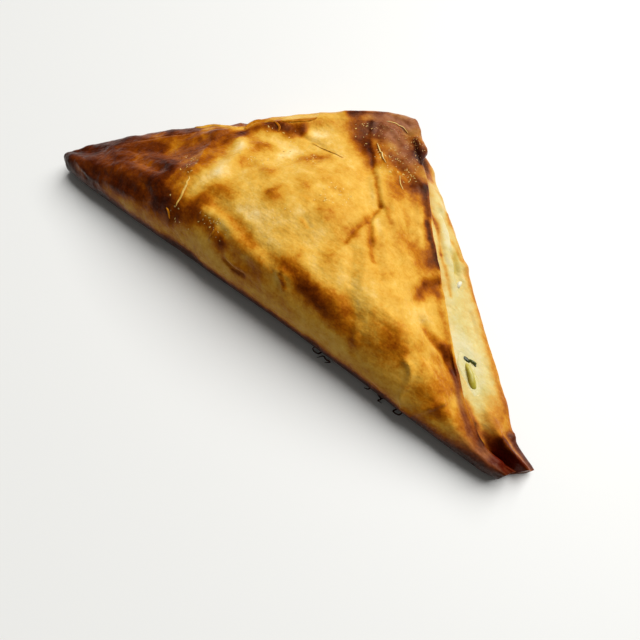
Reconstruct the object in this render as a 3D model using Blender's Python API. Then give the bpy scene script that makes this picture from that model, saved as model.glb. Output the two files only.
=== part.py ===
"""Spanakopita: one large folded triangle of baked filo pastry with a spinach and feta filling.

The parcel lies flat, its long folded side along X and its square corner towards +Y.
It is lofted from closed sections that stand across X. Each section runs over the rounded front
fold, the crown, the free edge of the top sheet (the lip), the bare flank below it, and back under.
Millimetres are used throughout, and become metres where a mesh is made.
"""

import math

import bmesh
import bpy
import numpy as np

MM = 0.001

# Driving dimensions
LENGTH = 200.0  # the long folded side, from the rolled tip to the open tip
CROWN = 27.0  # the top of the filled middle above the base
RIM_HEIGHT = 6.0  # where the walls are widest
FLANK_RIM_DROP = 2.5  # the bare flank runs further down than the folded walls
FRONT_FOLD = 13.0  # radius of the long side's fold
SHOULDER = 12.0  # width of the rolled shoulder along the rear left side
SHOULDER_SHARE = 0.74  # its height as a share of the crown
CORNER_SINK = 0.35  # how much thinner that shoulder is at the square corner
BASE_CURL = 5.0  # how far the base curls in below the walls
LIP_THICKNESS = 2.4  # the stacked top sheets at their free edge
LIP_OVERHANG = 1.5
ROLL_WALL = 0.6  # the rolled tip's hollow against its outside
ROLL_DEPTH = 2.5
MOUTH_DEPTH = 5.0  # groove at the open tip
MOUTH_RIDGE = 3.4  # folded crest beside the groove
MOUTH_SLANT = 6.0  # the open tip ends further back at the long side
WALL = 3.5  # pastry layers between the filling and the outside
CORE_EDGE = 1.2  # the filling's least thickness
GAP = 0.4  # clearance between the filling and its pocket
TEAR_LENGTH = 13.6
TEAR_WIDTH = 4.8
STEM_WIDTH = 2.8
STEM_BEND = 0.35

# Resolution: stations along X, and rows in each part of a section
STATIONS = 74
FOLD_ROWS = 8
CROWN_ROWS = 23
FLANK_ROWS = 14
UNDER_ROWS = 4
BASE_ROWS = 4
CORE_STATIONS = 26
CORE_ROWS = 22

HALF = LENGTH / 2
CENTRE_Y = 0.45  # the outline below is drawn this far towards +Y
LIP_START = 4.0  # the lip begins just right of the square corner
MOUTH_START = 78.0  # the open tip's groove begins here
CORE_START = -72.0
CORE_END = 77.0
TEAR_START = (66.2, -22.6)
TEAR_END = (75.6, -29.8)

# Plan outline and heights as (x, value) points, joined smoothly
FRONT_EDGE = (
    (-HALF, -41.6), (-97, -42.6), (-92, -43.6), (-80, -44.5), (-50, -45.0), (-20, -45.6),
    (10, -46.0), (43, -47.4), (70, -48.7), (85, -49.1), (94, -48.9), (HALF, -48.2),
)
REAR_EDGE = (
    (-HALF, -34.8), (-95, -30.2), (-75, -10.4), (-56, 5.3), (-45, 15.2), (-20, 38.6),
    (-5, 49.0), (0, 50.2), (8, 45.6), (22, 34.6), (35, 23.6), (50, 9.3), (65, -5.6),
    (80, -20.6), (86, -26.2), (91, -32.2), (HALF, -38.6),
)
LIP_EDGE = (
    (-HALF, 41), (4, 41), (8, 39.5), (12, 36.6), (16, 31), (22.5, 23.8), (35.6, 6), (44.3, -3.6),
    (65, -27), (76.5, -38.8), (84, -43.8), (HALF, -45.6),
)
CROWN_LINE = (
    (-HALF, 7.8), (-94, 10), (-80, 14.5), (-65, 18.5), (-45, 22.8), (-20, 26), (5, CROWN),
    (25, 26), (45, 22.5), (60, 18.3), (72, 14), (80, 11.4), (88, 9.8), (HALF, 9),
)
LIP_HEIGHT = (
    (-HALF, 11), (4, 11), (16, 14), (30, 15), (45, 13.6), (60, 11.6), (72, 10.2), (84, 9.4),
    (HALF, 8.6),
)


def ramp(low, high, value):
    """Rises smoothly from 0 at low to 1 at high."""
    t = np.clip((value - low) / (high - low), 0.0, 1.0)
    return t * t * (3 - 2 * t)


def bump(centre, width, value):
    """A round hill of height 1, gone beyond about two widths."""
    return np.exp(-(((value - centre) / width) ** 2))


def soft_min(first, second, blend):
    """The smaller value, with the corner between the two rounded over blend."""
    share = np.clip(0.5 + 0.5 * (second - first) / blend, 0.0, 1.0)
    return second + (first - second) * share - blend * share * (1 - share)


def through(points, x):
    """A smooth curve through (place, value) points, read at x."""
    places, values = np.array(points, dtype=float).T
    slopes = np.gradient(values, places)
    index = np.clip(np.searchsorted(places, x) - 1, 0, len(places) - 2)
    span = places[index + 1] - places[index]
    t = np.clip((x - places[index]) / span, 0, 1)
    rise = values[index + 1] - values[index]
    leave = t * (1 - t) ** 2 * slopes[index] * span
    arrive = t * t * (1 - t) * slopes[index + 1] * span
    return values[index] + rise * t * t * (3 - 2 * t) + leave - arrive


# Plan outline


def front_line(x):
    return through(FRONT_EDGE, x)


def rear_line(x):
    return through(REAR_EDGE, x)


def on_right(x):
    """0 along the left side and 1 along the side where the parcel's last edge lies open."""
    return ramp(LIP_START - 6, LIP_START + 8, x)


def lip_line(x):
    """The top sheet's free edge. Left of the square corner it is the rolled shoulder instead."""
    width = rear_line(x) - front_line(x)
    shoulder = rear_line(x) - np.minimum(SHOULDER, 0.42 * width)
    return shoulder + (through(LIP_EDGE, x) - shoulder) * on_right(x)


# Heights


def lip_height(x):
    """The top of the lip, or of the rolled shoulder on the left."""
    left = SHOULDER_SHARE * through(CROWN_LINE, x) * (1 - CORNER_SINK * bump(0, 26, x))
    return left + (through(LIP_HEIGHT, x) - left) * on_right(x)


def rim_height(x):
    return np.minimum(RIM_HEIGHT, 0.5 * through(CROWN_LINE, x))


def top_height(x, y):
    """The top sheet before its edges are folded down: highest a third of the way back."""
    across = np.clip((y - front_line(x)) / (lip_line(x) - front_line(x)), 0, 1)
    high = through(CROWN_LINE, x)
    fall = ramp(0.3, 1.0, across)
    return high + (lip_height(x) - high) * fall - 0.08 * high * (1 - ramp(0.0, 0.35, across))


# Folds, creases and dents in the top sheet. Each is (x, y) start, (x, y) end, width, height.
CREASES = (
    ((-8, 34), (4, 15), 4.2, -1.3),
    ((4, 15), (15, 1), 4.2, -1.2),
    ((15, 1), (14, -20), 4.2, -1.0),
    ((12, 12), (22, 0), 4.2, 1.0),
    ((-46, -36), (-22, -40), 4.5, 1.6),
    ((-22, -40), (10, -39), 4.5, 0.8),
    ((-52, 2), (-40, -22), 4.5, 1.0),
    ((20, -38), (46, -36), 5.0, 0.8),
    ((58, -36), (66, -24), 4.2, -0.8),
)
DENTS = (
    ((-22, 8), 10.0, -1.4),
    ((-5, -10), 12.0, 0.8),
    ((24, -16), 9.0, -1.0),
    ((40, -28), 9.0, 1.0),
    ((-60, -22), 9.0, -0.8),
    ((4, 28), 7.0, 1.2),
    ((8, -28), 10.0, -1.0),
)


def along(x, y, start, end):
    """Distance from the points to a straight stretch."""
    sx, sy = start
    dx, dy = end[0] - sx, end[1] - sy
    share = np.clip(((x - sx) * dx + (y - sy) * dy) / (dx * dx + dy * dy), 0, 1)
    return np.hypot(x - sx - share * dx, y - sy - share * dy)


def relief(x, y):
    """Height of the creases and dents at a place on the top sheet."""
    height = 0 * x
    for start, end, width, rise in CREASES:
        height = height + rise * bump(0, width, along(x, y, start, end))
    for (cx, cy), width, rise in DENTS:
        height = height + rise * bump(0, width, np.hypot(x - cx, y - cy))
    return height


# Section rows


def fold_width(x):
    """How far the long side's rounded fold reaches in over the top."""
    return soft_min(FRONT_FOLD + 0 * x, 0.6 * (lip_line(x) - front_line(x)), 8)


def fold_rows(x):
    """From the widest point of the long side up over its fold."""
    front, rim = front_line(x), rim_height(x)
    width = np.maximum(fold_width(x), 0.8)
    turn = np.linspace(0, math.pi / 2, FOLD_ROWS, endpoint=False)[None, :]
    y = front + width * (1 - np.cos(turn))
    rise = np.sin(turn) ** 0.9
    return y, rim + (top_height(x, y) - rim) * rise


def crown_rows(x):
    """Across the crown to the lip."""
    start = front_line(x) + np.maximum(fold_width(x), 0.8)
    share = np.linspace(0, 1, CROWN_ROWS)[None, :]
    y = start + (lip_line(x) - start) * share
    edge = np.minimum(share / 0.1, 1) * np.minimum((1 - share) / 0.1, 1)
    return y, top_height(x, y) + relief(x + 0 * y, y) * edge


def lip_rows(x):
    """The free edge of the top sheet: its rounded nose and the step under it."""
    right, lip, high = on_right(x), lip_line(x), lip_height(x)
    nose_y = np.array([[0.8, 1.0, 0.1]]) * LIP_OVERHANG
    nose_z = np.array([[0.25, 0.6, 1.0]]) * LIP_THICKNESS
    plain = np.array([[0.25, 0.5, 0.75]])
    return lip + plain * (1 - right) * 0.6 + nose_y * right, high - nose_z * right - 0.12 * plain


def flank_height(x, across):
    """The bare flank, or the rolled shoulder's side on the left, at a share of its width."""
    right = on_right(x)
    start = lip_height(x) - LIP_THICKNESS * right
    rim = rim_height(x) - FLANK_RIM_DROP * right
    power = 1 / (1 - 0.3 * right)
    return rim + (start - rim) * (1 - np.clip(across, 0, 1) ** (2 / power)) ** (power / 2)


def flank_rows(x):
    """Below the lip and down to the widest point of the rear side, grooved at the open tip."""
    lip, rear = lip_line(x), rear_line(x)
    power = 1 / (1 - 0.3 * on_right(x))
    turn = np.linspace(0.12, math.pi / 2, FLANK_ROWS)[None, :]
    across = np.sin(turn) ** power
    z = flank_height(x, across)
    crest = 0.4 + 0.18 * ramp(80, HALF, x)
    mouth = ramp(MOUTH_START, 94, x)
    z = z - mouth * MOUTH_DEPTH * bump(0.45 * crest, 0.35 * crest, across)
    z = z + mouth * MOUTH_RIDGE * bump(crest, 0.13, across)
    return lip + (rear - lip) * across, z


def under_rows(x):
    """The base: it curls in below both walls and lies flat between them."""
    front, rear = front_line(x), rear_line(x)
    curl = np.minimum(BASE_CURL, 0.3 * (rear - front))
    rear_rim = rim_height(x) - FLANK_RIM_DROP * on_right(x)
    turn = np.linspace(0, math.pi / 2, UNDER_ROWS + 1)[None, 1:]
    rear_y = rear - curl * (1 - np.cos(turn))
    rear_z = rear_rim * (1 - np.sin(turn))
    share = np.linspace(0, 1, BASE_ROWS + 1)[None, 1:]
    flat_y = (rear - curl) + (front + curl - rear + curl) * share
    back = turn[:, ::-1][:, 1:]
    front_y = front + curl * (1 - np.cos(back))
    front_z = rim_height(x) * (1 - np.sin(back))
    y = np.concatenate([rear_y, flat_y, front_y], axis=1)
    z = np.concatenate([rear_z, 0 * flat_y, front_z], axis=1)
    return y, z


def section_points(stations):
    """(stations, rows, 3) points of the parcel's skin."""
    x = stations[:, None]
    parts = [fold_rows(x), crown_rows(x), lip_rows(x), flank_rows(x), under_rows(x)]
    y = np.concatenate([p[0] for p in parts], axis=1)
    z = np.concatenate([p[1] for p in parts], axis=1)
    share = (y - front_line(x)) / (rear_line(x) - front_line(x))
    slant = MOUTH_SLANT * ramp(84, HALF, x) * (1 - np.clip(share, 0, 1))
    return np.stack([x - slant, y, np.maximum(z, 0)], axis=2)


def station_places():
    """Places along X, closer together towards both tips."""
    share = np.linspace(0, 1, STATIONS)
    eased = share - 0.07 * np.sin(2 * math.pi * share)
    return -HALF + LENGTH * eased


def rolled_end(ring):
    """Two rings that turn into the hollow end of the rolled tip."""
    centre = ring.mean(axis=0)
    rim = centre + (ring - centre) * ROLL_WALL
    floor = centre + (ring - centre) * ROLL_WALL * 0.8
    floor[:, 0] += ROLL_DEPTH
    return [floor, rim]


# Filling


def core_points(margin):
    """The filling's body inside the pastry, grown by margin."""
    x = np.linspace(CORE_START - margin, CORE_END + margin, CORE_STATIONS)[:, None]
    inset = WALL - margin
    front = front_line(x) + inset + 1.5
    left_rear = rear_line(x) - inset - 2.0
    right_rear = lip_line(x) + 0.55 * (rear_line(x) - lip_line(x)) + margin
    rear = left_rear + (right_rear - left_rear) * on_right(x)
    turn = np.linspace(0, 2 * math.pi, CORE_ROWS, endpoint=False)[None, :]
    y = (front + rear) / 2 - (rear - front) / 2 * np.cos(turn)
    side = flank_height(x, (y - lip_line(x)) / (rear_line(x) - lip_line(x)))
    skin = np.where(y > lip_line(x), side, top_height(x, y))
    floor = WALL - 0.5 - margin
    roof = np.maximum(skin - inset - 1.0, floor + CORE_EDGE + 2 * margin)
    middle = floor + 0.3 * (roof - floor)
    rise = np.abs(np.sin(turn)) ** 0.6
    z = np.where(turn < math.pi, middle + (roof - middle) * rise, middle - (middle - floor) * rise)
    return np.stack([x + 0 * y, y, z], axis=2)


def stem_rings():
    """A spinach stem that lies in the tear and dips into the filling at both its ends."""
    start, end = np.array(TEAR_START), np.array(TEAR_END)
    run = (end - start) / np.hypot(*(end - start))
    side = np.array([-run[1], run[0]])
    rings = []
    for share in np.linspace(0.12, 0.88, 9):
        swell = math.sin(math.pi * share)
        centre = start + (end - start) * share + side * STEM_BEND * math.sin(5 * share)
        half = STEM_WIDTH / 2 * (0.45 + 0.55 * swell)
        roof = WALL + 1.4 + 3.8 * swell**0.5
        middle, tall = (roof + WALL) / 2, (roof - WALL) / 2
        ring = []
        for turn in np.linspace(0, 2 * math.pi, 10, endpoint=False):
            out = centre + side * half * math.cos(turn)
            ring.append((out[0], out[1], middle + tall * math.sin(turn)))
        rings.append(np.array(ring))
    return rings


def tear_rings():
    """A lens-shaped slit, standing upright through the flank down to the filling."""
    start, end = np.array(TEAR_START), np.array(TEAR_END)
    middle = (start + end) / 2
    run = (end - start) / np.hypot(*(end - start))
    side = np.array([-run[1], run[0]])
    rings = []
    for height in (WALL + 0.4, 2 * CROWN):
        ring = []
        for turn in np.linspace(0, 2 * math.pi, 20, endpoint=False):
            reach = run * math.cos(turn) * TEAR_LENGTH / 2
            wide = side * math.sin(turn) * TEAR_WIDTH / 2 * (0.93 + 0.07 * math.cos(3 * turn))
            place = middle + reach + wide
            ring.append((place[0], place[1], height))
        rings.append(np.array(ring))
    return rings


# Meshes and materials


def loft(name, rings, material):
    """A closed mesh through the rings, with a flat face on the first and the last."""
    count, rows = len(rings), len(rings[0])
    points = (np.concatenate(rings) - (0, CENTRE_Y, 0)) * MM
    faces = []
    for ring in range(count - 1):
        for row in range(rows):
            after = (row + 1) % rows
            low, high = ring * rows, (ring + 1) * rows
            faces.append((low + row, low + after, high + after, high + row))
    faces.append(tuple(range(rows))[::-1])
    faces.append(tuple(range((count - 1) * rows, count * rows)))
    mesh = bpy.data.meshes.new(name)
    mesh.from_pydata(points.tolist(), [], faces)
    mesh.validate()
    mesh.shade_smooth()
    mesh.materials.append(material)
    part = bpy.data.objects.new(name, mesh)
    bpy.context.scene.collection.objects.link(part)
    return part


def face_outwards(part):
    """Turns every face outwards."""
    mesh = bmesh.new()
    mesh.from_mesh(part.data)
    bmesh.ops.recalc_face_normals(mesh, faces=mesh.faces)
    mesh.to_mesh(part.data)
    mesh.free()


def combine(part, tool, operation):
    """Adds the tool to the part, or cuts it away, and hides the tool."""
    face_outwards(tool)
    tool.hide_render = True
    tool.display_type = "WIRE"
    step = part.modifiers.new(tool.name, "BOOLEAN")
    step.operation = operation
    step.solver = "EXACT"
    step.object = tool


def make_material(name, colour, roughness):
    material = bpy.data.materials.new(name)
    material.use_nodes = True
    shader = material.node_tree.nodes["Principled BSDF"]
    shader.inputs["Base Color"].default_value = (*colour, 1)
    shader.inputs["Roughness"].default_value = roughness
    return material


def clear_scene():
    for old in list(bpy.data.objects):
        bpy.data.objects.remove(old)


def build():
    clear_scene()
    pastry_finish = make_material("baked_filo", (0.72, 0.44, 0.14), 0.45)
    filling_finish = make_material("spinach_filling", (0.21, 0.30, 0.06), 0.5)
    rings = list(section_points(station_places()))
    pastry = loft("pastry", rolled_end(rings[0]) + rings, pastry_finish)
    face_outwards(pastry)
    filling = loft("filling", list(core_points(0)), filling_finish)
    face_outwards(filling)
    combine(filling, loft("stem", stem_rings(), filling_finish), "UNION")
    combine(pastry, loft("pocket", list(core_points(GAP)), pastry_finish), "DIFFERENCE")
    combine(pastry, loft("tear", tear_rings(), pastry_finish), "DIFFERENCE")


build()
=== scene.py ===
"""Looks for one spanakopita: a large folded triangle of baked filo with a spinach and feta filling.

The parcel is lofted again at a fine grain from the same named outline and heights as its solid.
Folds, creases and torn layer edges are raised on it, and browning, with painted shade and
painted highlight, is worked out for each point.
Millimetres are used throughout, and become metres where a mesh is made.
"""

import math

import bmesh
import bpy
import numpy as np
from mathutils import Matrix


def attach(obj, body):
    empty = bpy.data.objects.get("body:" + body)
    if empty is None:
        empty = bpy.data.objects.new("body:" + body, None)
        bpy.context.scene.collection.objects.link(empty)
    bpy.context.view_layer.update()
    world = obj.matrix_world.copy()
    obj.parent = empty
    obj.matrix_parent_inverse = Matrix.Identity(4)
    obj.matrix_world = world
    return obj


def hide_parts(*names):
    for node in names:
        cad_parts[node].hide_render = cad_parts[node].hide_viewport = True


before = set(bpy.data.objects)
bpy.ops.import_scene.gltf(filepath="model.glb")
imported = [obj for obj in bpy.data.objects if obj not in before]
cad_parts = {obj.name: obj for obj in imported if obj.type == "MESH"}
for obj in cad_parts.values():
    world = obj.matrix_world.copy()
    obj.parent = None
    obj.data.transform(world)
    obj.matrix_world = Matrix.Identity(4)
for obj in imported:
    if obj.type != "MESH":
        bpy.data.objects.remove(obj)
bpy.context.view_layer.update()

MM = 0.001
BODY = "root"

# The parcel's driving sizes, as in its solid
LENGTH = 200.0
CROWN = 27.0
RIM_HEIGHT = 6.0
FLANK_RIM_DROP = 2.5
FRONT_FOLD = 13.0
SHOULDER = 12.0
SHOULDER_SHARE = 0.74
CORNER_SINK = 0.35
BASE_CURL = 5.0
LIP_THICKNESS = 2.4
LIP_OVERHANG = 1.5
ROLL_WALL = 0.6
ROLL_DEPTH = 2.5
MOUTH_DEPTH = 5.0
MOUTH_RIDGE = 3.4
MOUTH_SLANT = 6.0
WALL = 3.5
CORE_EDGE = 1.2
GAP = 0.4
TEAR_LENGTH = 13.6
TEAR_WIDTH = 4.8
STEM_WIDTH = 2.8
STEM_BEND = 0.35
HALF = LENGTH / 2
CENTRE_Y = 0.45
LIP_START = 4.0
MOUTH_START = 78.0
CORE_START = -72.0
CORE_END = 77.0
TEAR_START = (66.2, -22.6)
TEAR_END = (75.6, -29.8)

# Fine grain: at most about 0.7 mm from point to point on the top
STATIONS = 400
FOLD_ROWS = 36
CROWN_ROWS = 106
LIP_ROWS = 12
FLANK_ROWS = 48
UNDER_ROWS = 8
BASE_ROWS = 12
CORE_STATIONS = 60
CORE_ROWS = 60
STEM_RINGS = 24
STEM_ROWS = 20
TEAR_POINTS = 48

# The fine surface, its browning with painted shade and highlight, and the loose leaf
FLANK_AT_TEAR = 6.0
ROLLED_TIP_SLANT = 2.4
OPEN_TIP_REACH = 2.0
DARK_FROM = 0.74
SLIVER_LIFT = 0.18
# Height of the dark band low on the front wall: charred leaf, and painted contact shade
FOOT_HEIGHT = 9.0
BLISTER_WIDEST = 4.6
BLISTER_RISE = 1.6
SLIVER_HALF_THICK = 0.14
FRAY_HALF_THICK = 0.22
FRAY_CHAR = 0.97
BIT_ROUGHNESS = 0.18
SHARP_ANGLE = 60.0
# The crust's fine relief, and what scorching adds: height, patch size, seed
WRINKLES = ((0.38, 9, 11), (0.24, 3.6, 15), (0.05, 1.9, 13))
SCORCHED_WRINKLES = ((0.4, 4.5, 17), (0.15, 1.6, 19))
# The flakes: turn in radians, scale and browning, each from a least to a greatest value
FLAKE_TURN = ((-0.3, -0.3, 0), (0.3, 0.3, 2 * math.pi))
FLAKE_SCALE = (0.35, 1.2)
FLAKE_BAKE = (0.0, 0.25)
# How pale the flakes are: pale leaf, and a stand-in for painted glints on the blisters
FLAKE_PALENESS_AND_PAINTED_GLINT = 0.35
# Their sizes in metres, curl, number and random seed
FLAKE_SIZES = {
    "Length": 0.7 * MM,
    "Width": 0.3 * MM,
    "Thickness": 0.08 * MM,
    "Curl": 500.0,
    "Per Square Metre": 4.5e5,
    "Seed": 4,
}

# The studio: sizes and places in metres, the lens in millimetres, the camera's turn in degrees
WINDOW_SIZE = 2.1
WINDOW_FAR = 2.3
WINDOW_POWER = 86.0
WINDOW_WAY = (0.25, 0.95, 1.25)
ROOM_LIGHT = 0.12
FLOOR_REACH = 1.5
LENS = 30.65
CAMERA_PLACE = (0.06497, -0.09531, 0.17247)
CAMERA_TURN = (23.29, 0.67, 36.05)

# Plan outline and heights as (x, value) points, joined smoothly
FRONT_EDGE = (
    (-HALF, -41.6), (-97, -42.6), (-92, -43.6), (-80, -44.5), (-50, -45.0), (-20, -45.6),
    (10, -46.0), (43, -47.4), (70, -48.7), (85, -49.1), (94, -48.9), (HALF, -48.2),
)
REAR_EDGE = (
    (-HALF, -34.8), (-95, -30.2), (-75, -10.4), (-56, 5.3), (-45, 15.2), (-20, 38.6),
    (-5, 49.0), (0, 50.2), (8, 45.6), (22, 34.6), (35, 23.6), (50, 9.3), (65, -5.6),
    (80, -20.6), (86, -26.2), (91, -32.2), (HALF, -38.6),
)
LIP_EDGE = (
    (-HALF, 41), (4, 41), (8, 39.5), (12, 36.6), (16, 31), (22.5, 23.8), (35.6, 6), (44.3, -3.6),
    (65, -27), (76.5, -38.8), (84, -43.8), (HALF, -45.6),
)
CROWN_LINE = (
    (-HALF, 7.8), (-94, 10), (-80, 14.5), (-65, 18.5), (-45, 22.8), (-20, 26), (5, CROWN),
    (25, 26), (45, 22.5), (60, 18.3), (72, 14), (80, 11.4), (88, 9.8), (HALF, 9),
)
LIP_HEIGHT = (
    (-HALF, 11), (4, 11), (16, 14), (30, 15), (45, 13.6), (60, 11.6), (72, 10.2), (84, 9.4),
    (HALF, 8.6),
)


def ramp(low, high, value):
    """Rises smoothly from 0 at low to 1 at high."""
    t = np.clip((value - low) / (high - low), 0.0, 1.0)
    return t * t * (3 - 2 * t)


def bump(centre, width, value):
    """A round hill of height 1, gone beyond about two widths."""
    return np.exp(-(((value - centre) / width) ** 2))


def soft_min(first, second, blend):
    """The smaller value, with the corner between the two rounded over blend."""
    share = np.clip(0.5 + 0.5 * (second - first) / blend, 0.0, 1.0)
    return second + (first - second) * share - blend * share * (1 - share)


def through(points, x):
    """A smooth curve through (place, value) points, read at x."""
    places, values = np.array(points, dtype=float).T
    slopes = np.gradient(values, places)
    index = np.clip(np.searchsorted(places, x) - 1, 0, len(places) - 2)
    span = places[index + 1] - places[index]
    t = np.clip((x - places[index]) / span, 0, 1)
    rise = values[index + 1] - values[index]
    leave = t * (1 - t) ** 2 * slopes[index] * span
    arrive = t * t * (1 - t) * slopes[index + 1] * span
    return values[index] + rise * t * t * (3 - 2 * t) + leave - arrive


def grain(points, size, seed):
    """Smooth random values from -1 to 1 in space, size millimetres from patch to patch."""
    side = 32
    lattice = np.random.default_rng(seed).uniform(-1, 1, (side, side, side))
    place = np.asarray(points) / size + 97.3
    cell = np.floor(place).astype(int)
    t = place - cell
    t = t * t * (3 - 2 * t)
    value = 0
    for corner in np.ndindex(2, 2, 2):
        share = np.prod(np.where(corner, t, 1 - t), axis=-1)
        at = (cell + corner) % side
        value = value + share * lattice[at[..., 0], at[..., 1], at[..., 2]]
    return value


def cloud(points, size, seed):
    """Grain at three sizes, for organic patches."""
    coarse = grain(points, size, seed) * 0.6
    middle = grain(points, size / 2.1, seed + 1) * 0.3
    return coarse + middle + grain(points, size / 4.3, seed + 2) * 0.15


# The parcel's form


def front_line(x):
    return through(FRONT_EDGE, x)


def rear_line(x):
    return through(REAR_EDGE, x)


def on_right(x):
    """0 along the left side and 1 along the side where the parcel's last edge lies open."""
    return ramp(LIP_START - 6, LIP_START + 8, x)


def lip_line(x):
    """The top sheet's free edge. Left of the square corner it is the rolled shoulder instead."""
    width = rear_line(x) - front_line(x)
    shoulder = rear_line(x) - np.minimum(SHOULDER, 0.42 * width)
    return shoulder + (through(LIP_EDGE, x) - shoulder) * on_right(x)


def lip_height(x):
    """The top of the lip, or of the rolled shoulder on the left."""
    left = SHOULDER_SHARE * through(CROWN_LINE, x) * (1 - CORNER_SINK * bump(0, 26, x))
    return left + (through(LIP_HEIGHT, x) - left) * on_right(x)


def rim_height(x):
    return np.minimum(RIM_HEIGHT, 0.5 * through(CROWN_LINE, x))


def top_height(x, y):
    """The top sheet before its edges are folded down: highest a third of the way back."""
    across = np.clip((y - front_line(x)) / (lip_line(x) - front_line(x)), 0, 1)
    high = through(CROWN_LINE, x)
    fall = ramp(0.3, 1.0, across)
    return high + (lip_height(x) - high) * fall - 0.08 * high * (1 - ramp(0.0, 0.35, across))


def fold_width(x):
    """How far the long side's rounded fold reaches in over the top."""
    width = soft_min(FRONT_FOLD + 0 * x, 0.6 * (lip_line(x) - front_line(x)), 8)
    return np.maximum(width, 0.8)


def fold_rows(x):
    """From the widest point of the long side up over its fold."""
    front, rim = front_line(x), rim_height(x)
    turn = np.linspace(0, math.pi / 2, FOLD_ROWS, endpoint=False)[None, :]
    y = front + fold_width(x) * (1 - np.cos(turn))
    return y, rim + (top_height(x, y) - rim) * np.sin(turn) ** 0.9


def crown_rows(x):
    """Across the crown to the lip."""
    start = front_line(x) + fold_width(x)
    share = np.linspace(0, 1, CROWN_ROWS)[None, :]
    y = start + (lip_line(x) - start) * share
    edge = np.minimum(share / 0.1, 1) * np.minimum((1 - share) / 0.1, 1)
    return y, top_height(x, y) + broad_relief(x + 0 * y, y) * edge


def lip_rows(x):
    """The free edge of the top sheet: a rounded nose of stacked leaves, cut in under it."""
    right, lip, high = on_right(x), lip_line(x), lip_height(x)
    share = np.linspace(0.06, 1, LIP_ROWS)[None, :]
    leaves = 0.13 * np.sin(6.5 * math.pi * share) * np.sin(math.pi * share)
    nose = np.sin(math.pi * share**0.8) ** 0.6 * (1 - 0.2 * share) + 0.1 * share
    y = lip + (LIP_OVERHANG * nose + leaves) * right + 1.3 * share * (1 - right)
    return y, high - LIP_THICKNESS * share * right - 0.12 * share


def rear_rim_height(x):
    """Height of the rear side's widest point, which lies lower under the bare flank."""
    return rim_height(x) - FLANK_RIM_DROP * on_right(x)


def flank_power(x):
    """How flat the rear side is: 1 is a quarter round, as on the left, and 2 would be straight."""
    return 1 / (1 - 0.3 * on_right(x))


def flank_share(x, y):
    """How far out a place lies on the rear side: 0 at the lip and 1 at the widest point."""
    return (y - lip_line(x)) / (rear_line(x) - lip_line(x))


def flank_height(x, across):
    """The bare flank, or the rolled shoulder's side on the left, at a share of its width."""
    start = lip_height(x) - LIP_THICKNESS * on_right(x)
    rim, power = rear_rim_height(x), flank_power(x)
    return rim + (start - rim) * (1 - np.clip(across, 0, 1) ** (2 / power)) ** (power / 2)


def flank_rows(x):
    """Below the lip and down to the widest point of the rear side, grooved at the open tip."""
    lip, rear = lip_line(x), rear_line(x)
    turn = np.linspace(0.12, math.pi / 2, FLANK_ROWS)[None, :]
    across = np.sin(turn) ** flank_power(x)
    z = flank_height(x, across)
    crest = 0.4 + 0.18 * ramp(80, HALF, x)
    mouth = ramp(MOUTH_START, 94, x)
    z = z - mouth * MOUTH_DEPTH * bump(0.45 * crest, 0.35 * crest, across)
    z = z + mouth * MOUTH_RIDGE * bump(crest, 0.13, across)
    return lip + (rear - lip) * across, z


def under_rows(x):
    """The base: it curls in below both walls and lies flat between them."""
    front, rear = front_line(x), rear_line(x)
    curl = np.minimum(BASE_CURL, 0.3 * (rear - front))
    turn = np.linspace(0, math.pi / 2, UNDER_ROWS + 1)[None, 1:]
    rear_y = rear - curl * (1 - np.cos(turn))
    rear_z = rear_rim_height(x) * (1 - np.sin(turn))
    share = np.linspace(0, 1, BASE_ROWS + 1)[None, 1:]
    flat_y = (rear - curl) + (front + curl - rear + curl) * share
    back = turn[:, ::-1][:, 1:]
    front_y = front + curl * (1 - np.cos(back))
    front_z = rim_height(x) * (1 - np.sin(back))
    y = np.concatenate([rear_y, flat_y, front_y], axis=1)
    z = np.concatenate([rear_z, 0 * flat_y, front_z], axis=1)
    return y, z


def parcel_points():
    """(stations, rows, 3) points of the parcel's skin."""
    share = np.linspace(0, 1, STATIONS)
    x = (-HALF + LENGTH * (share - 0.05 * np.sin(2 * math.pi * share)))[:, None]
    parts = [fold_rows(x), crown_rows(x), lip_rows(x), flank_rows(x), under_rows(x)]
    y = np.concatenate([p[0] for p in parts], axis=1)
    z = np.concatenate([p[1] for p in parts], axis=1)
    share = (y - front_line(x)) / (rear_line(x) - front_line(x))
    slant = MOUTH_SLANT * ramp(84, HALF, x) * (1 - np.clip(share, 0, 1))
    return np.stack([x - slant, y - CENTRE_Y, np.maximum(z, 0)], axis=2)


# Strokes: where something is folded, torn or browned. Each has a path of (x, y, z) points on the
# parcel, and how wide it is to either side.

# Broad creases and dents of the top, as in the solid: places, width, height
CREASES = (
    ((-8, 34), (4, 15), 4.2, -1.3),
    ((4, 15), (15, 1), 4.2, -1.2),
    ((15, 1), (14, -20), 4.2, -1.0),
    ((12, 12), (22, 0), 4.2, 1.0),
    ((-46, -36), (-22, -40), 4.5, 1.6),
    ((-22, -40), (10, -39), 4.5, 0.8),
    ((-52, 2), (-40, -22), 4.5, 1.0),
    ((20, -38), (46, -36), 5.0, 0.8),
    ((58, -36), (66, -24), 4.2, -0.8),
    ((-22, 8), (-22, 9), 10.0, -1.4),
    ((-5, -10), (-5, -9), 12.0, 0.8),
    ((24, -16), (24, -15), 9.0, -1.0),
    ((40, -28), (40, -27), 9.0, 1.0),
    ((-60, -22), (-60, -21), 9.0, -0.8),
    ((4, 28), (4, 29), 7.0, 1.2),
    ((8, -28), (8, -27), 10.0, -1.0),
)
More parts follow.
